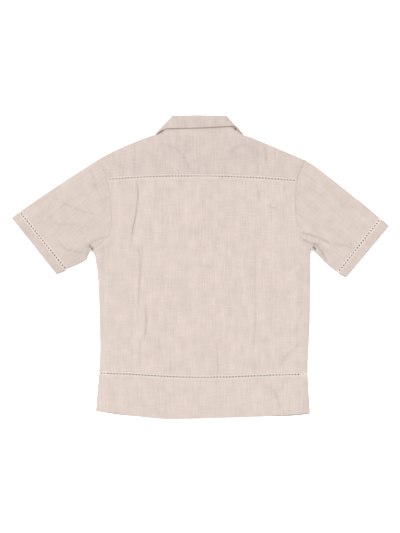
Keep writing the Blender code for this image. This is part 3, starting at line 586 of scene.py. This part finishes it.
def turned_hem(points, grain, inwards_z):
    """Adds rows to a grid of points that turn its last row round its edge and back inside it."""
    back = unit(points[-5, :, :2] - points[-1, :, :2])
    edge_z = points[-5, :, 2].copy()
    half = HEM_FOLD / 2
    for row in points[-6:]:
        d = np.einsum("ij,ij->i", row[:, :2] - points[-1, :, :2], back)
        t = np.clip(1 - d / half, 0, 1)
        row[:, 2] += inwards_z * half * (1 - np.sqrt(1 - t * t))
    extra, extra_grain = [], []
    for d in (0.12, 0.35, half, 3, 8, HEM_TURN):
        t = max(0.0, 1 - d / half)
        z = edge_z + inwards_z * half * (1 + math.sqrt(1 - t * t))
        extra.append(np.column_stack([points[-1, :, :2] + back * d, z]))
        extra_grain.append(grain[-1] + back * d)
    return np.concatenate([points, extra]), np.concatenate([grain, extra_grain])


def turned(flat, degrees):
    """Plan points turned so that the weave runs along a piece."""
    a = math.radians(degrees)
    return np.stack([flat[:, 0] * math.cos(a) + flat[:, 1] * math.sin(a),
                     flat[:, 1] * math.cos(a) - flat[:, 0] * math.sin(a)], 1)


def cloth_face(plan, height, seams, folds, down, hem, tilt=0.0, closed=None):
    """Points, grain and faces of a layer over a plan grid. down is set for the lower one."""
    flat = plan.reshape(-1, 2)
    z = seamed(height(flat), flat, seams, -1 if down else 1)
    z = rounded(z, EDGE_MIDDLE + wing_lift(flat) * 0.5, flat, folds)
    if closed is not None:
        z[closed] = EDGE_MIDDLE
    points, grain = np.dstack([plan, z.reshape(plan.shape[:2])]), turned(flat, tilt).reshape(plan.shape)
    if hem:
        points, grain = turned_hem(points, grain, 1 if down else -1)
    faces = grid_faces(*points.shape[:2], flip=(signed_area(plan) < 0) != down)
    return points.reshape(-1, 3), grain.reshape(-1, 2), faces


def cloth_sheet(name, plan, height, look, seams, folds, down=False, hem=False):
    points, grain, faces = cloth_face(plan, height, seams, folds, down, hem)
    return thicken(make_mesh(name, points, faces, grain, look, LOWER_CREASES if down else UPPER_CREASES))


def cloth_tube(name, plan, look, seams, folds, hook, tilt, hem=False):
    """A flattened tube: an upper and a lower face over one plan grid, joined along its folded sides."""
    row, column = np.divmod(np.arange(plan.shape[0] * plan.shape[1]), plan.shape[1])
    closed = (column == 0) | ((column == column[-1]) & (row >= hook))
    points, grain, faces = zip(*(cloth_face(plan, height, seams, folds, down, hem, tilt, closed)
                                 for height, down in ((upper, False), (lower, True))))
    faces = np.vstack([faces[0], faces[1] + len(points[0])])
    obj = make_mesh(name, np.vstack(points), faces, np.vstack(grain), look, UPPER_CREASES)
    reworked(obj, lambda shape: bmesh.ops.remove_doubles(shape, verts=shape.verts, dist=1e-6))
    obj.data.shade_smooth()
    return thicken(obj)


def ring_faces(rings, size, tubes=1, first=0):
    """Faces of tubes made of rings of points, with one across each end."""
    tube = first + rings * size * np.arange(tubes)[:, None, None]
    row = size * np.arange(rings - 1)[None, :, None]
    k = np.arange(size)[None, None, :]
    a, b = tube + row + k, tube + row + (k + 1) % size
    quads = np.stack([a, b, b + size, a + size], 3).reshape(-1, 4)
    ends = np.vstack([tube[:, 0] + k[0, :, ::-1], tube[:, 0] + (rings - 1) * size + k[0]])
    return quads.tolist() + ends.tolist()


# Threads
class Threads:
    """Collects round threads into one mesh."""

    def __init__(self):
        self.points, self.faces, self.count = [], [], 0

    def tubes(self, paths, radius, sides=6, flatten=1.0):
        """Closed tubes along paths of equally many points. radius is one number or one for each point."""
        paths = np.array(paths, float)
        number, steps = paths.shape[:2]
        radius = np.broadcast_to(np.array(radius, float), (number, steps))[..., None, None]
        run = unit(np.gradient(paths, axis=1))
        across = unit(np.stack([-run[..., 1], run[..., 0], np.zeros((number, steps))], 2))
        up = np.cross(run, across)
        turn = (2 * math.pi * np.arange(sides) / sides)[None, None, :, None]
        ring = paths[:, :, None] + radius * (across[:, :, None] * np.cos(turn)
                                             + flatten * up[:, :, None] * np.sin(turn))
        self.faces += ring_faces(steps, sides, number, self.count)
        self.points.append(ring.reshape(-1, 3))
        self.count += ring.size // 3

    def stitches(self, line, height, down=False):
        """A row of stitches along a plan line, each with its ends sunk in the cloth."""
        line = np.array(line, float)
        length = line_length(line)
        starts = np.arange(int(length // STITCH_PITCH)) * STITCH_PITCH + 0.3
        shares = (starts[:, None] + STITCH * np.linspace(0, 1, 5)) / length
        flat = along(line, shares.ravel())
        z = height(flat).reshape(shares.shape) + (-1 if down else 1) * STITCH_DIP
        self.tubes(np.dstack([flat.reshape(*shares.shape, 2), z]), THREAD, sides=4)

    def made(self, name, look):
        points = np.vstack(self.points)
        return make_mesh(name, points, self.faces, points[:, :2], look)


def openwork(name, node, centre, height, down=False, hole=HOLE):
    """A row of small holes between bundles of threads, with cords along both sides."""
    threads = Threads()
    length = line_length(centre)
    sign = -1 if down else 1
    holes = int((length - 4) / HOLE_PITCH)
    middles = (length - holes * HOLE_PITCH) / 2 + HOLE_PITCH * np.arange(holes + 1)
    places = np.linspace(0, 1, int(length / CORD_STEP))
    fine = along(centre, places)
    wrapping = WRAPPING * (-1.0) ** np.arange(len(fine))
    beads = BEADS * np.cos(2 * math.pi * (places * length - middles[0]) / HOLE_PITCH)
    for side in (-1, 1):
        for offset, sink, radius, wrapped, beaded, flatten in CORDS:
            line = moved_across(fine, side * offset)
            radii = radius + wrapped * wrapping + beaded * beads
            threads.tubes([np.column_stack([line, height(line) - sign * sink])], radii, 6, flatten)
    # the holes are longer in some stretches than in others
    drift = 0.65 * np.sin(middles / 13.5 + length) + 0.5 * np.sin(middles / 31.0 + 2 * length)
    bar = (HOLE_PITCH - hole * (1 + HOLES_VARY * drift))[:, None]
    across = np.array([-RAIL, 0, RAIL])
    for strand in np.linspace(-0.5, 0.5, STRANDS):
        pinch = strand * (bar - STRAND_GAP) * np.array([1.08, 0.94, 1.08])
        shares = np.clip((middles[:, None] + pinch) / length, 0.001, 0.999)
        here = along(fine, shares.ravel())
        run = unit(along(fine, shares.ravel() + 0.001) - along(fine, shares.ravel() - 0.001))
        here = here + np.tile(across, len(middles))[:, None] * np.stack([-run[:, 1], run[:, 0]], 1)
        z = height(here) - sign * (0.3 + 0.2 * abs(strand))
        paths = np.column_stack([here, z]).reshape(len(middles), 3, 3)
        threads.tubes(paths, STRAND, 5)
    return finished(threads.made(name, OPENWORK), "tape_thread", node)


# Materials
class Nodes:
    """Short names for building the nodes of a material or a world."""

    def __init__(self, holder):
        self.holder = holder
        holder.use_nodes = True
        self.tree = holder.node_tree
        self.shader = self.tree.nodes.get("Principled BSDF")

    def add(self, kind):
        return self.tree.nodes.new("ShaderNode" + kind)

    def put(self, socket, value):
        if isinstance(value, bpy.types.NodeSocket):
            self.tree.links.new(value, socket)
        else:
            socket.default_value = value

    def fed(self, node, inputs):
        """The outputs of a node, after its inputs are given values or links."""
        for place, value in dict(inputs).items():
            self.put(node.inputs[place], value)
        return node.outputs

    def shade(self, name, value):
        self.put(self.shader.inputs[name], value)

    def attribute(self, name, output):
        node = self.add("Attribute")
        node.attribute_name = name
        return node.outputs[output]

    def parts(self, vector):
        return self.fed(self.add("SeparateXYZ"), {0: vector})

    def math(self, operation, *values):
        node = self.add("Math")
        node.operation = operation
        return self.fed(node, enumerate(values))[0]

    def mix(self, share, a, b):
        node = self.add("Mix")
        node.data_type = "RGBA"
        return self.fed(node, {0: share, 6: a, 7: b})[2]

    def stretched(self, place, x, y, detail, seed):
        """Noise whose grains are x by y metres."""
        node = self.add("VectorMath")
        node.operation = "MULTIPLY_ADD"
        vector = self.fed(node, {0: place, 1: (1 / x, 1 / y, 1), 2: (seed, seed * 0.37, seed * 0.11)})[0]
        settings = {"Vector": vector, "Scale": 1, "Detail": detail, "Roughness": 0.55}
        return self.fed(self.add("TexNoise"), settings)[0]

    def weave(self, place, pitch):
        """Plain weave: 1 on the threads' crowns, 0 in the gaps between them."""
        turn = 2 * math.pi / pitch
        sines = [self.math("SINE", self.math("MULTIPLY", part, turn)) for part in self.parts(place)[:2]]
        return self.math("MULTIPLY_ADD", self.math("MULTIPLY", *sines), 0.5, 0.5)

    def bump(self, height, distance, strength):
        inputs = {"Strength": strength, "Distance": distance, "Height": height}
        self.shade("Normal", self.fed(self.add("Bump"), inputs)[0])


def material_nodes(name, roughness):
    n = Nodes(bpy.data.materials.new(name))
    n.shade("Roughness", roughness)
    return n


def toned(colour, tone):
    return tuple(c * tone for c in colour) + (1.0,)


def linen(name, tone):
    """Chambray linen: pale warp over a greyer weft, with slubs both ways. tone scales how light it is, and a
    tone under 1 is painted shade.
    """
    n = material_nodes(name, 0.92)
    n.shade("Sheen Weight", 0.1)
    n.shade("Sheen Roughness", 0.5)
    place = n.attribute("grain", "Vector")
    layers = [(n.stretched(place, *sizes), weight) for *sizes, weight in LINEN_NOISES]
    layers.append((n.weave(place, WEAVE_PITCH), 0.22))
    share = 0.5
    for layer, weight in layers:
        share = n.math("MULTIPLY_ADD", n.math("SUBTRACT", layer, 0.5), weight, share)
    clamp = n.math("MINIMUM", n.math("MAXIMUM", share, 0.0), 1.0)
    cloth = n.mix(clamp, toned(DARK_LINEN, tone), toned(LIGHT_LINEN, tone))
    # painted shade along the creases, the armhole seams and under the collar's edge
    n.shade("Base Color", n.mix(n.attribute("worn", "Fac"), cloth, PAINTED_SHADE_COLOUR))
    warp, weft, crowns = layers[0][0], layers[1][0], layers[-1][0]
    threads = n.math("MULTIPLY_ADD", weft, 0.5, n.math("MULTIPLY", crowns, 0.7))
    n.bump(n.math("MULTIPLY_ADD", warp, 0.5, threads), 0.0002, 0.4)
    return n.holder


def thread_look(name, colour):
    """Smooth sewing thread with a fine twist."""
    n = material_nodes(name, 0.7)
    n.shade("Sheen Weight", 0.15)
    twist = n.stretched(n.attribute("grain", "Vector"), 0.0006, 0.0006, 2.0, 5.0)
    n.shade("Base Color", n.mix(twist, toned(colour, 0.86), toned(colour, 1)))
    n.bump(twist, 0.0001, 0.4)
    return n.holder


def button_look():
    """Corozo nut: warm off-white with faint rings and mottling."""
    n = material_nodes("button_shell", 0.32)
    place = n.add("TexCoord").outputs["Object"]
    rings = n.stretched(place, 0.0009, 0.004, 3.0, 2.0)
    n.shade("Base Color", n.mix(rings, (0.62, 0.52, 0.42, 1.0), (0.84, 0.76, 0.66, 1.0)))
    n.bump(rings, 0.00005, 0.2)
    return n.holder


# The yoke, sleeves, cuffs and collar get darker copies of the same linen: painted shade.
LINEN = linen("linen", 1.0)
LINEN_YOKE = linen("linen_yoke", 0.945)
LINEN_SLEEVE = linen("linen_sleeve", 0.97)
LINEN_CUFF = linen("linen_cuff", 0.945)
LINEN_COLLAR = linen("linen_collar", 0.925)
OPENWORK = thread_look("openwork_thread", OPENWORK_COLOUR)
SEWING = thread_look("sewing_thread", SEWING_COLOUR)
BUTTON = button_look()


# Pieces
def finished(obj, slot, *nodes):
    """Hides the solids that a piece stands for. slot, the name of its material, is not used."""
    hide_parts(*nodes)
    return obj


def armhole_parts(side):
    """The armhole seam from the shoulder to the pit, as its yoke, tape and back stretches."""
    curve = SIDES[side]["armhole"]
    middle = SIDES[side]["tape end y"]
    high = share_at_y(curve, middle + TAPE_WIDTH / 2)
    low = share_at_y(curve, middle - TAPE_WIDTH / 2)
    return [spline(curve, np.linspace(*part)) for part in ((0, high, 30), (high, low, 5), (low, 1, 60))]


def shoulder_line(side):
    """The shoulder from the armhole to the corner of the neck."""
    data = SIDES[side]
    return np.vstack([even(data["shoulder"], 40), data["shoulder in collar"], [data["neck corner"]]])


def yoke_edge(sign, left_end, right_end):
    """The yoke tape's upper or lower edge, from armhole to armhole."""
    line = moved_across(even(YOKE_SEAM, 120), sign * TAPE_WIDTH / 2)
    line[0], line[-1] = left_end, right_end
    return line[np.argsort(line[:, 0])]


ARMS = {side: armhole_parts(side) for side in SIDES}
YOKE_HIGH = yoke_edge(1, ARMS["left"][0][-1], ARMS["right"][0][-1])
YOKE_LOW = yoke_edge(-1, ARMS["left"][2][0], ARMS["right"][2][0])
HEM_HIGH = moved_across(even(HEM_SEAM, 120), TAPE_WIDTH / 2)
HEM_LOW = moved_across(even(HEM_SEAM, 120), -TAPE_WIDTH / 2)
SEWN = Threads()


def body_side(side):
    """The side edge of the body from the pit down to the hem tape."""
    end = HEM_HIGH[0 if side == "left" else -1]
    return even(SIDES[side]["body side"][:-1] + [end], 60)


def back_side(side):
    """The side edge of the back and of the fronts from the hem tape up to the yoke tape."""
    return np.vstack([ARMS[side][2], body_side(side)[1:]])[::-1]


def make_back():
    neck_and_shoulders = np.vstack([shoulder_line("left"), even(NECK_BACK, 50)[1:-1],
                                    shoulder_line("right")[::-1]])
    left, right = ARMS["left"][0][::-1], ARMS["right"][0][::-1]
    plan = patch(YOKE_HIGH, neck_and_shoulders, left, right, YOKE_STEP, BAND_STEP)
    folds = [shoulder_line("left"), shoulder_line("right")]
    yoke = cloth_sheet("yoke_cloth", plan, upper, LINEN_YOKE, [YOKE_HIGH, left, right], folds)
    finished(yoke, "linen", "yoke")
    centre = (YOKE_HIGH + along(YOKE_LOW, np.linspace(0, 1, len(YOKE_HIGH)))) / 2
    tape = openwork("yoke_openwork", "yoke_tape", centre, upper)
    plan = patch(HEM_HIGH, YOKE_LOW, back_side("left"), back_side("right"), close=BACK_CREASES)
    seams = [HEM_HIGH, YOKE_LOW, ARMS["left"][2], ARMS["right"][2]]
    back = cloth_sheet("back_cloth", plan, upper, LINEN, seams, [body_side(side) for side in SIDES])
    finished(back, "linen", "back")
    for line, sign in ((YOKE_HIGH, 1), (YOKE_LOW, -1), (HEM_HIGH, 1)):
        SEWN.stitches(moved_across(line, sign * EDGE_STITCH)[2:-2], upper)
    band, hem_tape = hem_pieces("back", 0.0, 1.0, HEM_BACK, upper, False)


def hem_pieces(name, low_share, high_share, hem, height, down):
    """The tape and the band along the hem, over a part of its width."""
    middle = (HEM_HIGH + HEM_LOW) / 2
    parts = []
    for line in (middle, HEM_HIGH, HEM_LOW, even(hem, 200)):
        first, last = line[0, 0], line[-1, 0]
        parts.append(between_x(line, first + low_share * (last - first), first + high_share * (last - first)))
    centre, high, low, edge = parts
    tape = openwork(f"hem_openwork_{name}", f"hem_tape_{name}", centre, height, down)
    sides, folds = [], []
    for k, side in ((0, "left"), (-1, "right")):
        whole = low_share == 0 if k == 0 else high_share == 1
        curve = [low[k], *SIDES[side]["band side"][1:-1], edge[k]] if whole else [low[k], edge[k]]
        sides.append(even(curve, 30))
        if whole:
            folds.append(sides[-1])
    plan = patch(low, edge, *sides, *((HIDDEN_STEP, HIDDEN_STEP) if down else (BAND_STEP, 4)))
    band = cloth_sheet(f"hem_band_{name}_cloth", plan, height, LINEN, [low], folds, down=down, hem=True)
    finished(band, "linen", f"hem_band_{name}")
    SEWN.stitches(moved_across(low, -EDGE_STITCH)[2:-2], height, down)
    return band, tape


def front_neck(side):
    """The front neck edge from the corner at the shoulder down to the centre."""
    corner, centre = np.array([SIDES[side]["neck corner"], CENTRE_FRONT[0]], float)
    shape = np.array([(0, 0), (0.18, 0.36), (0.42, 0.72), (0.72, 0.94), (1, 1)])
    return even(corner + shape * (centre - corner), 30)


def make_fronts():
    for side, sign in (("left", 1), ("right", -1)):
        outer = np.vstack([back_side(side), ARMS[side][0][::-1]])
        height = partial(lower, over_left=side == "right")
        neck = front_neck(side)
        lap_top = neck[-1] + (sign * OVERLAP_HALF, 0)
        top = np.vstack([shoulder_line(side), neck[1:], [lap_top]])
        centre_x = CENTRE_AT_TAPE + sign * OVERLAP_HALF
        low = between_x(HEM_HIGH, outer[0, 0], centre_x)
        low[0] = outer[0]
        inner = straight(low[-1], lap_top, 20)
        plan = patch(low, top, outer, inner, HIDDEN_STEP, HIDDEN_STEP + 1)
        seams = [low, ARMS[side][0], ARMS[side][2]]
        folds = [body_side(side), shoulder_line(side)]
        front = cloth_sheet(f"front_{side}_cloth", plan, height, LINEN, seams, folds, down=True)
        finished(front, "linen", f"front_{side}")
        share = (centre_x - HEM_HIGH[0, 0]) / (HEM_HIGH[-1, 0] - HEM_HIGH[0, 0])
        part = (0.0, share) if side == "left" else (share, 1.0)
        band, tape = hem_pieces(f"front_{side}", *part, HEM_FRONT, height, True)
        for inset in (2.0, 2 * OVERLAP_HALF - 2):
            SEWN.stitches(moved_across(inner, sign * inset)[:-2], height, True)


def make_sleeve(side):
    """A sleeve and its cuff, two flattened tubes. The hook is the armhole's end, past its bend at the pit."""
    data = SIDES[side]
    arm = np.vstack([ARMS[side][0], ARMS[side][1][1:-1], ARMS[side][2]])
    bend = share_at_y(data["armhole"], data["armhole"][-2][1])
    split = int(round(bend * (len(arm) - 1)))
    arm, hook = arm[: split + 1], arm[split:]
    seam, cuff = (np.array([data["cuff top"][k], data["cuff under"][k]], float) for k in (0, -1))
    across = unit(seam[1] - seam[0])
    outwards = (cuff[0] + cuff[1] - seam[0] - seam[1]) / 2
    outwards = unit(outwards - across * (outwards @ across))
    tilt = math.degrees(math.atan2(across[1], across[0]))
    edge = {sign: straight(*seam, 40) + outwards * sign * TAPE_WIDTH / 2 for sign in (-1, 1)}
    top = even(data["sleeve top"][:-1] + [edge[-1][0]], 80)
    fold = even(data["sleeve under"][:-1] + [edge[-1][-1]], 60)
    under = np.vstack([hook, fold[1:]])
    v = graded((line_length(top) + line_length(under)) / 2, SLEEVE_STEP)
    hook_rows = int(np.searchsorted(v, line_length(hook) / line_length(under)))
    v[hook_rows] = line_length(hook) / line_length(under)
    plan = patch(arm, edge[-1], top, under, SLEEVE_STEP, v=v)
    sleeve = cloth_tube(f"sleeve_{side}_cloth", plan, LINEN_SLEEVE, [arm, hook, edge[-1]], [top, fold],
                        hook_rows, tilt)
    finished(sleeve, "linen", f"sleeve_{side}")
    folds = [np.array([edge[1][k], cuff[k]]) for k in (0, -1)]
    plan = patch(edge[1], straight(*cuff, 40), *folds)
    band = cloth_tube(f"cuff_{side}_cloth", plan, LINEN_CUFF, [edge[1]], folds, 0, tilt, hem=True)
    finished(band, "linen", f"cuff_{side}")
    middle = (edge[-1] + edge[1]) / 2
    for which, height, down in (("upper", upper, False), ("lower", lower, True)):
        openwork(f"sleeve_openwork_{side}_{which}", f"sleeve_tape_{side}_{which}", middle,
                              height, down, SLEEVE_HOLE)
        for sign in (-1, 1):
            SEWN.stitches((edge[sign] + outwards * sign * EDGE_STITCH)[1:-1], height, down)


Rib = namedtuple("Rib", "root roll end angle roll_gap end_gap side")


def collar_wing(side, sign):
    """Sections of the collar from its point on a front to the neck's corner, and round its turn there."""
    top, low, point = (np.array(SIDES[side][k], float) for k in ("fold top", "fold low", "wing point"))
    neck = front_neck(side)
    meet = np.array(CENTRE_FRONT[0], float) + (sign * WING_APART, WING_ROLL_END)
    wing = []
    for t in np.linspace(1, 0, 40)[:-1]:
        root = along(neck, [t])[0] + (sign * WING_APART * t, 0)
        roll, end = top + (meet - top) * t, low + (point - low) * t
        wing.append(Rib(root, roll, end, 180.0, SEAM_GAP, SEAM_GAP, side))
    for angle in np.linspace(168, 12, 14):
        gap = SEAM_GAP + (SIDE_FALL_GAP - SEAM_GAP) * (1 - angle / 180)
        wing.append(Rib(neck[0], top, low, angle, SEAM_GAP, gap, side))
    return wing


def collar_back():
    """Sections of the collar on the back, from its left turn to its right one."""
    shares = np.linspace(0, 1, 90)
    rolls = straight(*(np.array(SIDES[side]["fold top"], float) for side in SIDES), 90)
    ribs = []
    for t, root, roll, end in zip(shares, spline(NECK_BACK, shares), rolls, spline(FALL_EDGE, shares)):
        lift = math.sin(math.pi * t)
        ribs.append(Rib(root, roll, end, 0.0, SEAM_GAP + (ROLL_GAP - SEAM_GAP) * lift,
                        SIDE_FALL_GAP + (FALL_GAP - SIDE_FALL_GAP) * lift, None))
    return ribs


def collar_section(rib, base):
    """The closed outline of a section: out along the stand, round the roll, and along the fall and back."""
    root, roll, end, angle, roll_gap, end_gap, side = rib
    out = unit(roll - (root + end) / 2)
    root = root + unit(roll - root) * ROOT_INSET
    outer, inner = (2 * CLOTH + roll_gap) / 2, roll_gap / 2
    section = [(root + (roll - root) * t, -CLOTH) for t in np.linspace(0, 1, 7)]
    for turn in np.radians(np.linspace(20, 160, 8)):
        section.append((roll + out * outer * math.sin(turn), inner - outer * math.cos(turn)))
    for t in np.linspace(0, 1, 9):
        puff = FALL_PUFF * math.sin(math.pi * t) * (side is None)
        section.append((roll + (end - roll) * t, roll_gap + (end_gap - roll_gap) * t + CLOTH + puff))
    half = CLOTH / 2
    tip = unit(end - roll) * half
    for turn in np.radians([35, 90, 145]):
        section.append((end + tip * math.sin(turn), end_gap + half * (1 + math.cos(turn))))
    for t in np.linspace(1, 0, 7):
        section.append((roll + (end - roll) * t, roll_gap + (end_gap - roll_gap) * t))
    section.append((roll + out * inner, inner))
    section += [(root + (roll - root) * t, 0.0) for t in np.linspace(1, 0, 5)]
    plan, height = (np.array(part) for part in zip(*section))
    if side is None:
        return np.column_stack([plan, base + height])
    lean = math.radians(angle)
    away = np.outer((SIDE_STAND + height) * math.sin(lean), SIDES[side]["fold out"])
    return np.column_stack([plan + away, SIDE_MIDDLE + (SIDE_STAND + height) * math.cos(lean)])


def make_collar():
    """A band folded over at its roll: the stand inside, the fall outside, in sections round the neck."""
    ribs = collar_wing("left", -1) + collar_back() + collar_wing("right", 1)[::-1]
    rings = [collar_section(*pair) for pair in zip(ribs, upper(np.array([rib.root for rib in ribs])))]
    grain = np.vstack([np.column_stack([ring[:, 0], lengths(ring)]) for ring in rings])
    collar = make_mesh("collar_cloth", np.vstack(rings), ring_faces(len(rings), len(rings[0])), grain,
                       LINEN_COLLAR)
    reworked(collar, lambda shape: bmesh.ops.recalc_face_normals(shape, faces=shape.faces))
    finished(collar, "linen", "collar")


def make_buttons():
    """The buttons, sunk in their middle, each with two bars of thread and a worked buttonhole."""
    turns = 2 * math.pi * np.arange(BUTTON_SIDES) / BUTTON_SIDES
    faces = ring_faces(len(BUTTON_PROFILE), BUTTON_SIDES)
    for k in range(BUTTON_COUNT):
        y = BUTTON_TOP_Y - k * BUTTON_PITCH
        x = -past_centre(np.array([[0.0, y]]))[0]
        points = [(x + r * math.cos(a), y + r * math.sin(a), z) for r, z in BUTTON_PROFILE for a in turns]
        button = make_mesh(f"button_{k + 1}_corozo", points, faces, None, BUTTON)
        reworked(button, lambda shape: bmesh.ops.recalc_face_normals(shape, faces=shape.faces))
        finished(button, "button_shell", f"button_{k + 1}")
        for dx in (-BAR_APART, BAR_APART):
            SEWN.tubes([[(x + dx, y + dy, z) for dy, z in BAR]], BAR_THREAD)
        slot = [(x + BUTTONHOLE_WIDE * math.cos(a), y + BUTTONHOLE_LONG * math.sin(a), BUTTON_RISE + 0.05)
                for a in np.linspace(0, 2 * math.pi, 37)]
        SEWN.tubes([slot], [0.42 if i % 2 else 0.32 for i in range(37)], sides=5)


# Stage
def shaded_strips():
    """Dark patches under the openwork, without the floor's glow, so that the holes show painted shade."""
    lines = [((HEM_HIGH + HEM_LOW) / 2)[4:-4]]
    for data in SIDES.values():
        ends = np.array([data["cuff top"][0], data["cuff under"][0]], float)
        lines.append(straight(*ends, 20, 0.03, 0.97))
    points, faces = [], []
    for line in lines:
        for side in (-STRIP_HALF, STRIP_HALF):
            points += [(*p, STRIP_HEIGHT) for p in moved_across(line, side)]
        first, count = len(points) - 2 * len(line), len(line)
        for a in range(first, first + count - 1):
            faces.append((a, a + 1, a + count + 1, a + count))
    mesh = bpy.data.meshes.new("shaded_floor")
    mesh.from_pydata((np.array(points) * METRES).tolist(), [], faces)
    n = material_nodes("shaded_floor", 0.95)
    # darker than the floor: painted shade seen through the holes
    n.shade("Base Color", (0.5, 0.44, 0.4, 1))
    mesh.materials.append(n.holder)
    placed("shaded_floor", mesh)


def make_world():
    """A studio dome, brightest overhead, and plain white where it is seen past the floor."""
    world = bpy.data.worlds.new("studio")
    n = Nodes(world)
    height = n.parts(n.add("TexCoord").outputs["Generated"])[2]
    grade = n.math("MULTIPLY_ADD", n.math("MULTIPLY", height, height), DOME_OVERHEAD, DOME_SIDES)
    background = n.tree.nodes["Background"]
    background.inputs[0].default_value = (1, 1, 1, 1)
    n.put(background.inputs[1], n.math("MAXIMUM", grade, n.add("LightPath").outputs["Is Camera Ray"]))
    bpy.context.scene.world = world


def make_stage():
    bpy.ops.mesh.primitive_plane_add(size=FLOOR_SIZE, location=(0, 0, FLOOR_HEIGHT))
    floor = bpy.context.object
    floor.name = "floor"
    n = material_nodes("pale_floor", 0.9)
    n.shade("Base Color", (0.9, 0.9, 0.9, 1))
    n.shade("Emission Color", (1, 1, 1, 1))
    seen = n.add("LightPath").outputs["Is Camera Ray"]
    n.shade("Emission Strength", n.math("MULTIPLY", seen, FLOOR_GLOW))
    floor.data.materials.append(n.holder)
    shaded_strips()
    make_world()
    sun = bpy.data.lights.new("key", "SUN")
    sun.energy = SUN_POWER
    sun.angle = math.radians(SUN_DEGREES)
    placed("key", sun).rotation_euler = Vector(SUN_FROM).to_track_quat("Z", "Y").to_euler()
    camera = bpy.data.cameras.new("camera")
    camera.sensor_width = SENSOR
    camera.lens = SENSOR * CAMERA_ABOVE_SHIRT / FRAME_TALL
    view = placed("camera", camera)
    view.location = CAMERA_PLACE
    bpy.context.scene.camera = view
    bpy.context.scene.view_settings.view_transform = "Standard"


def main():
    """Makes the pieces, the sewing that lies on them, and the stage."""
    make_back()
    make_fronts()
    for side in SIDES:
        make_sleeve(side)
    make_collar()
    make_buttons()
    sewing = SEWN.made("stitching", SEWING)
    make_stage()


main()
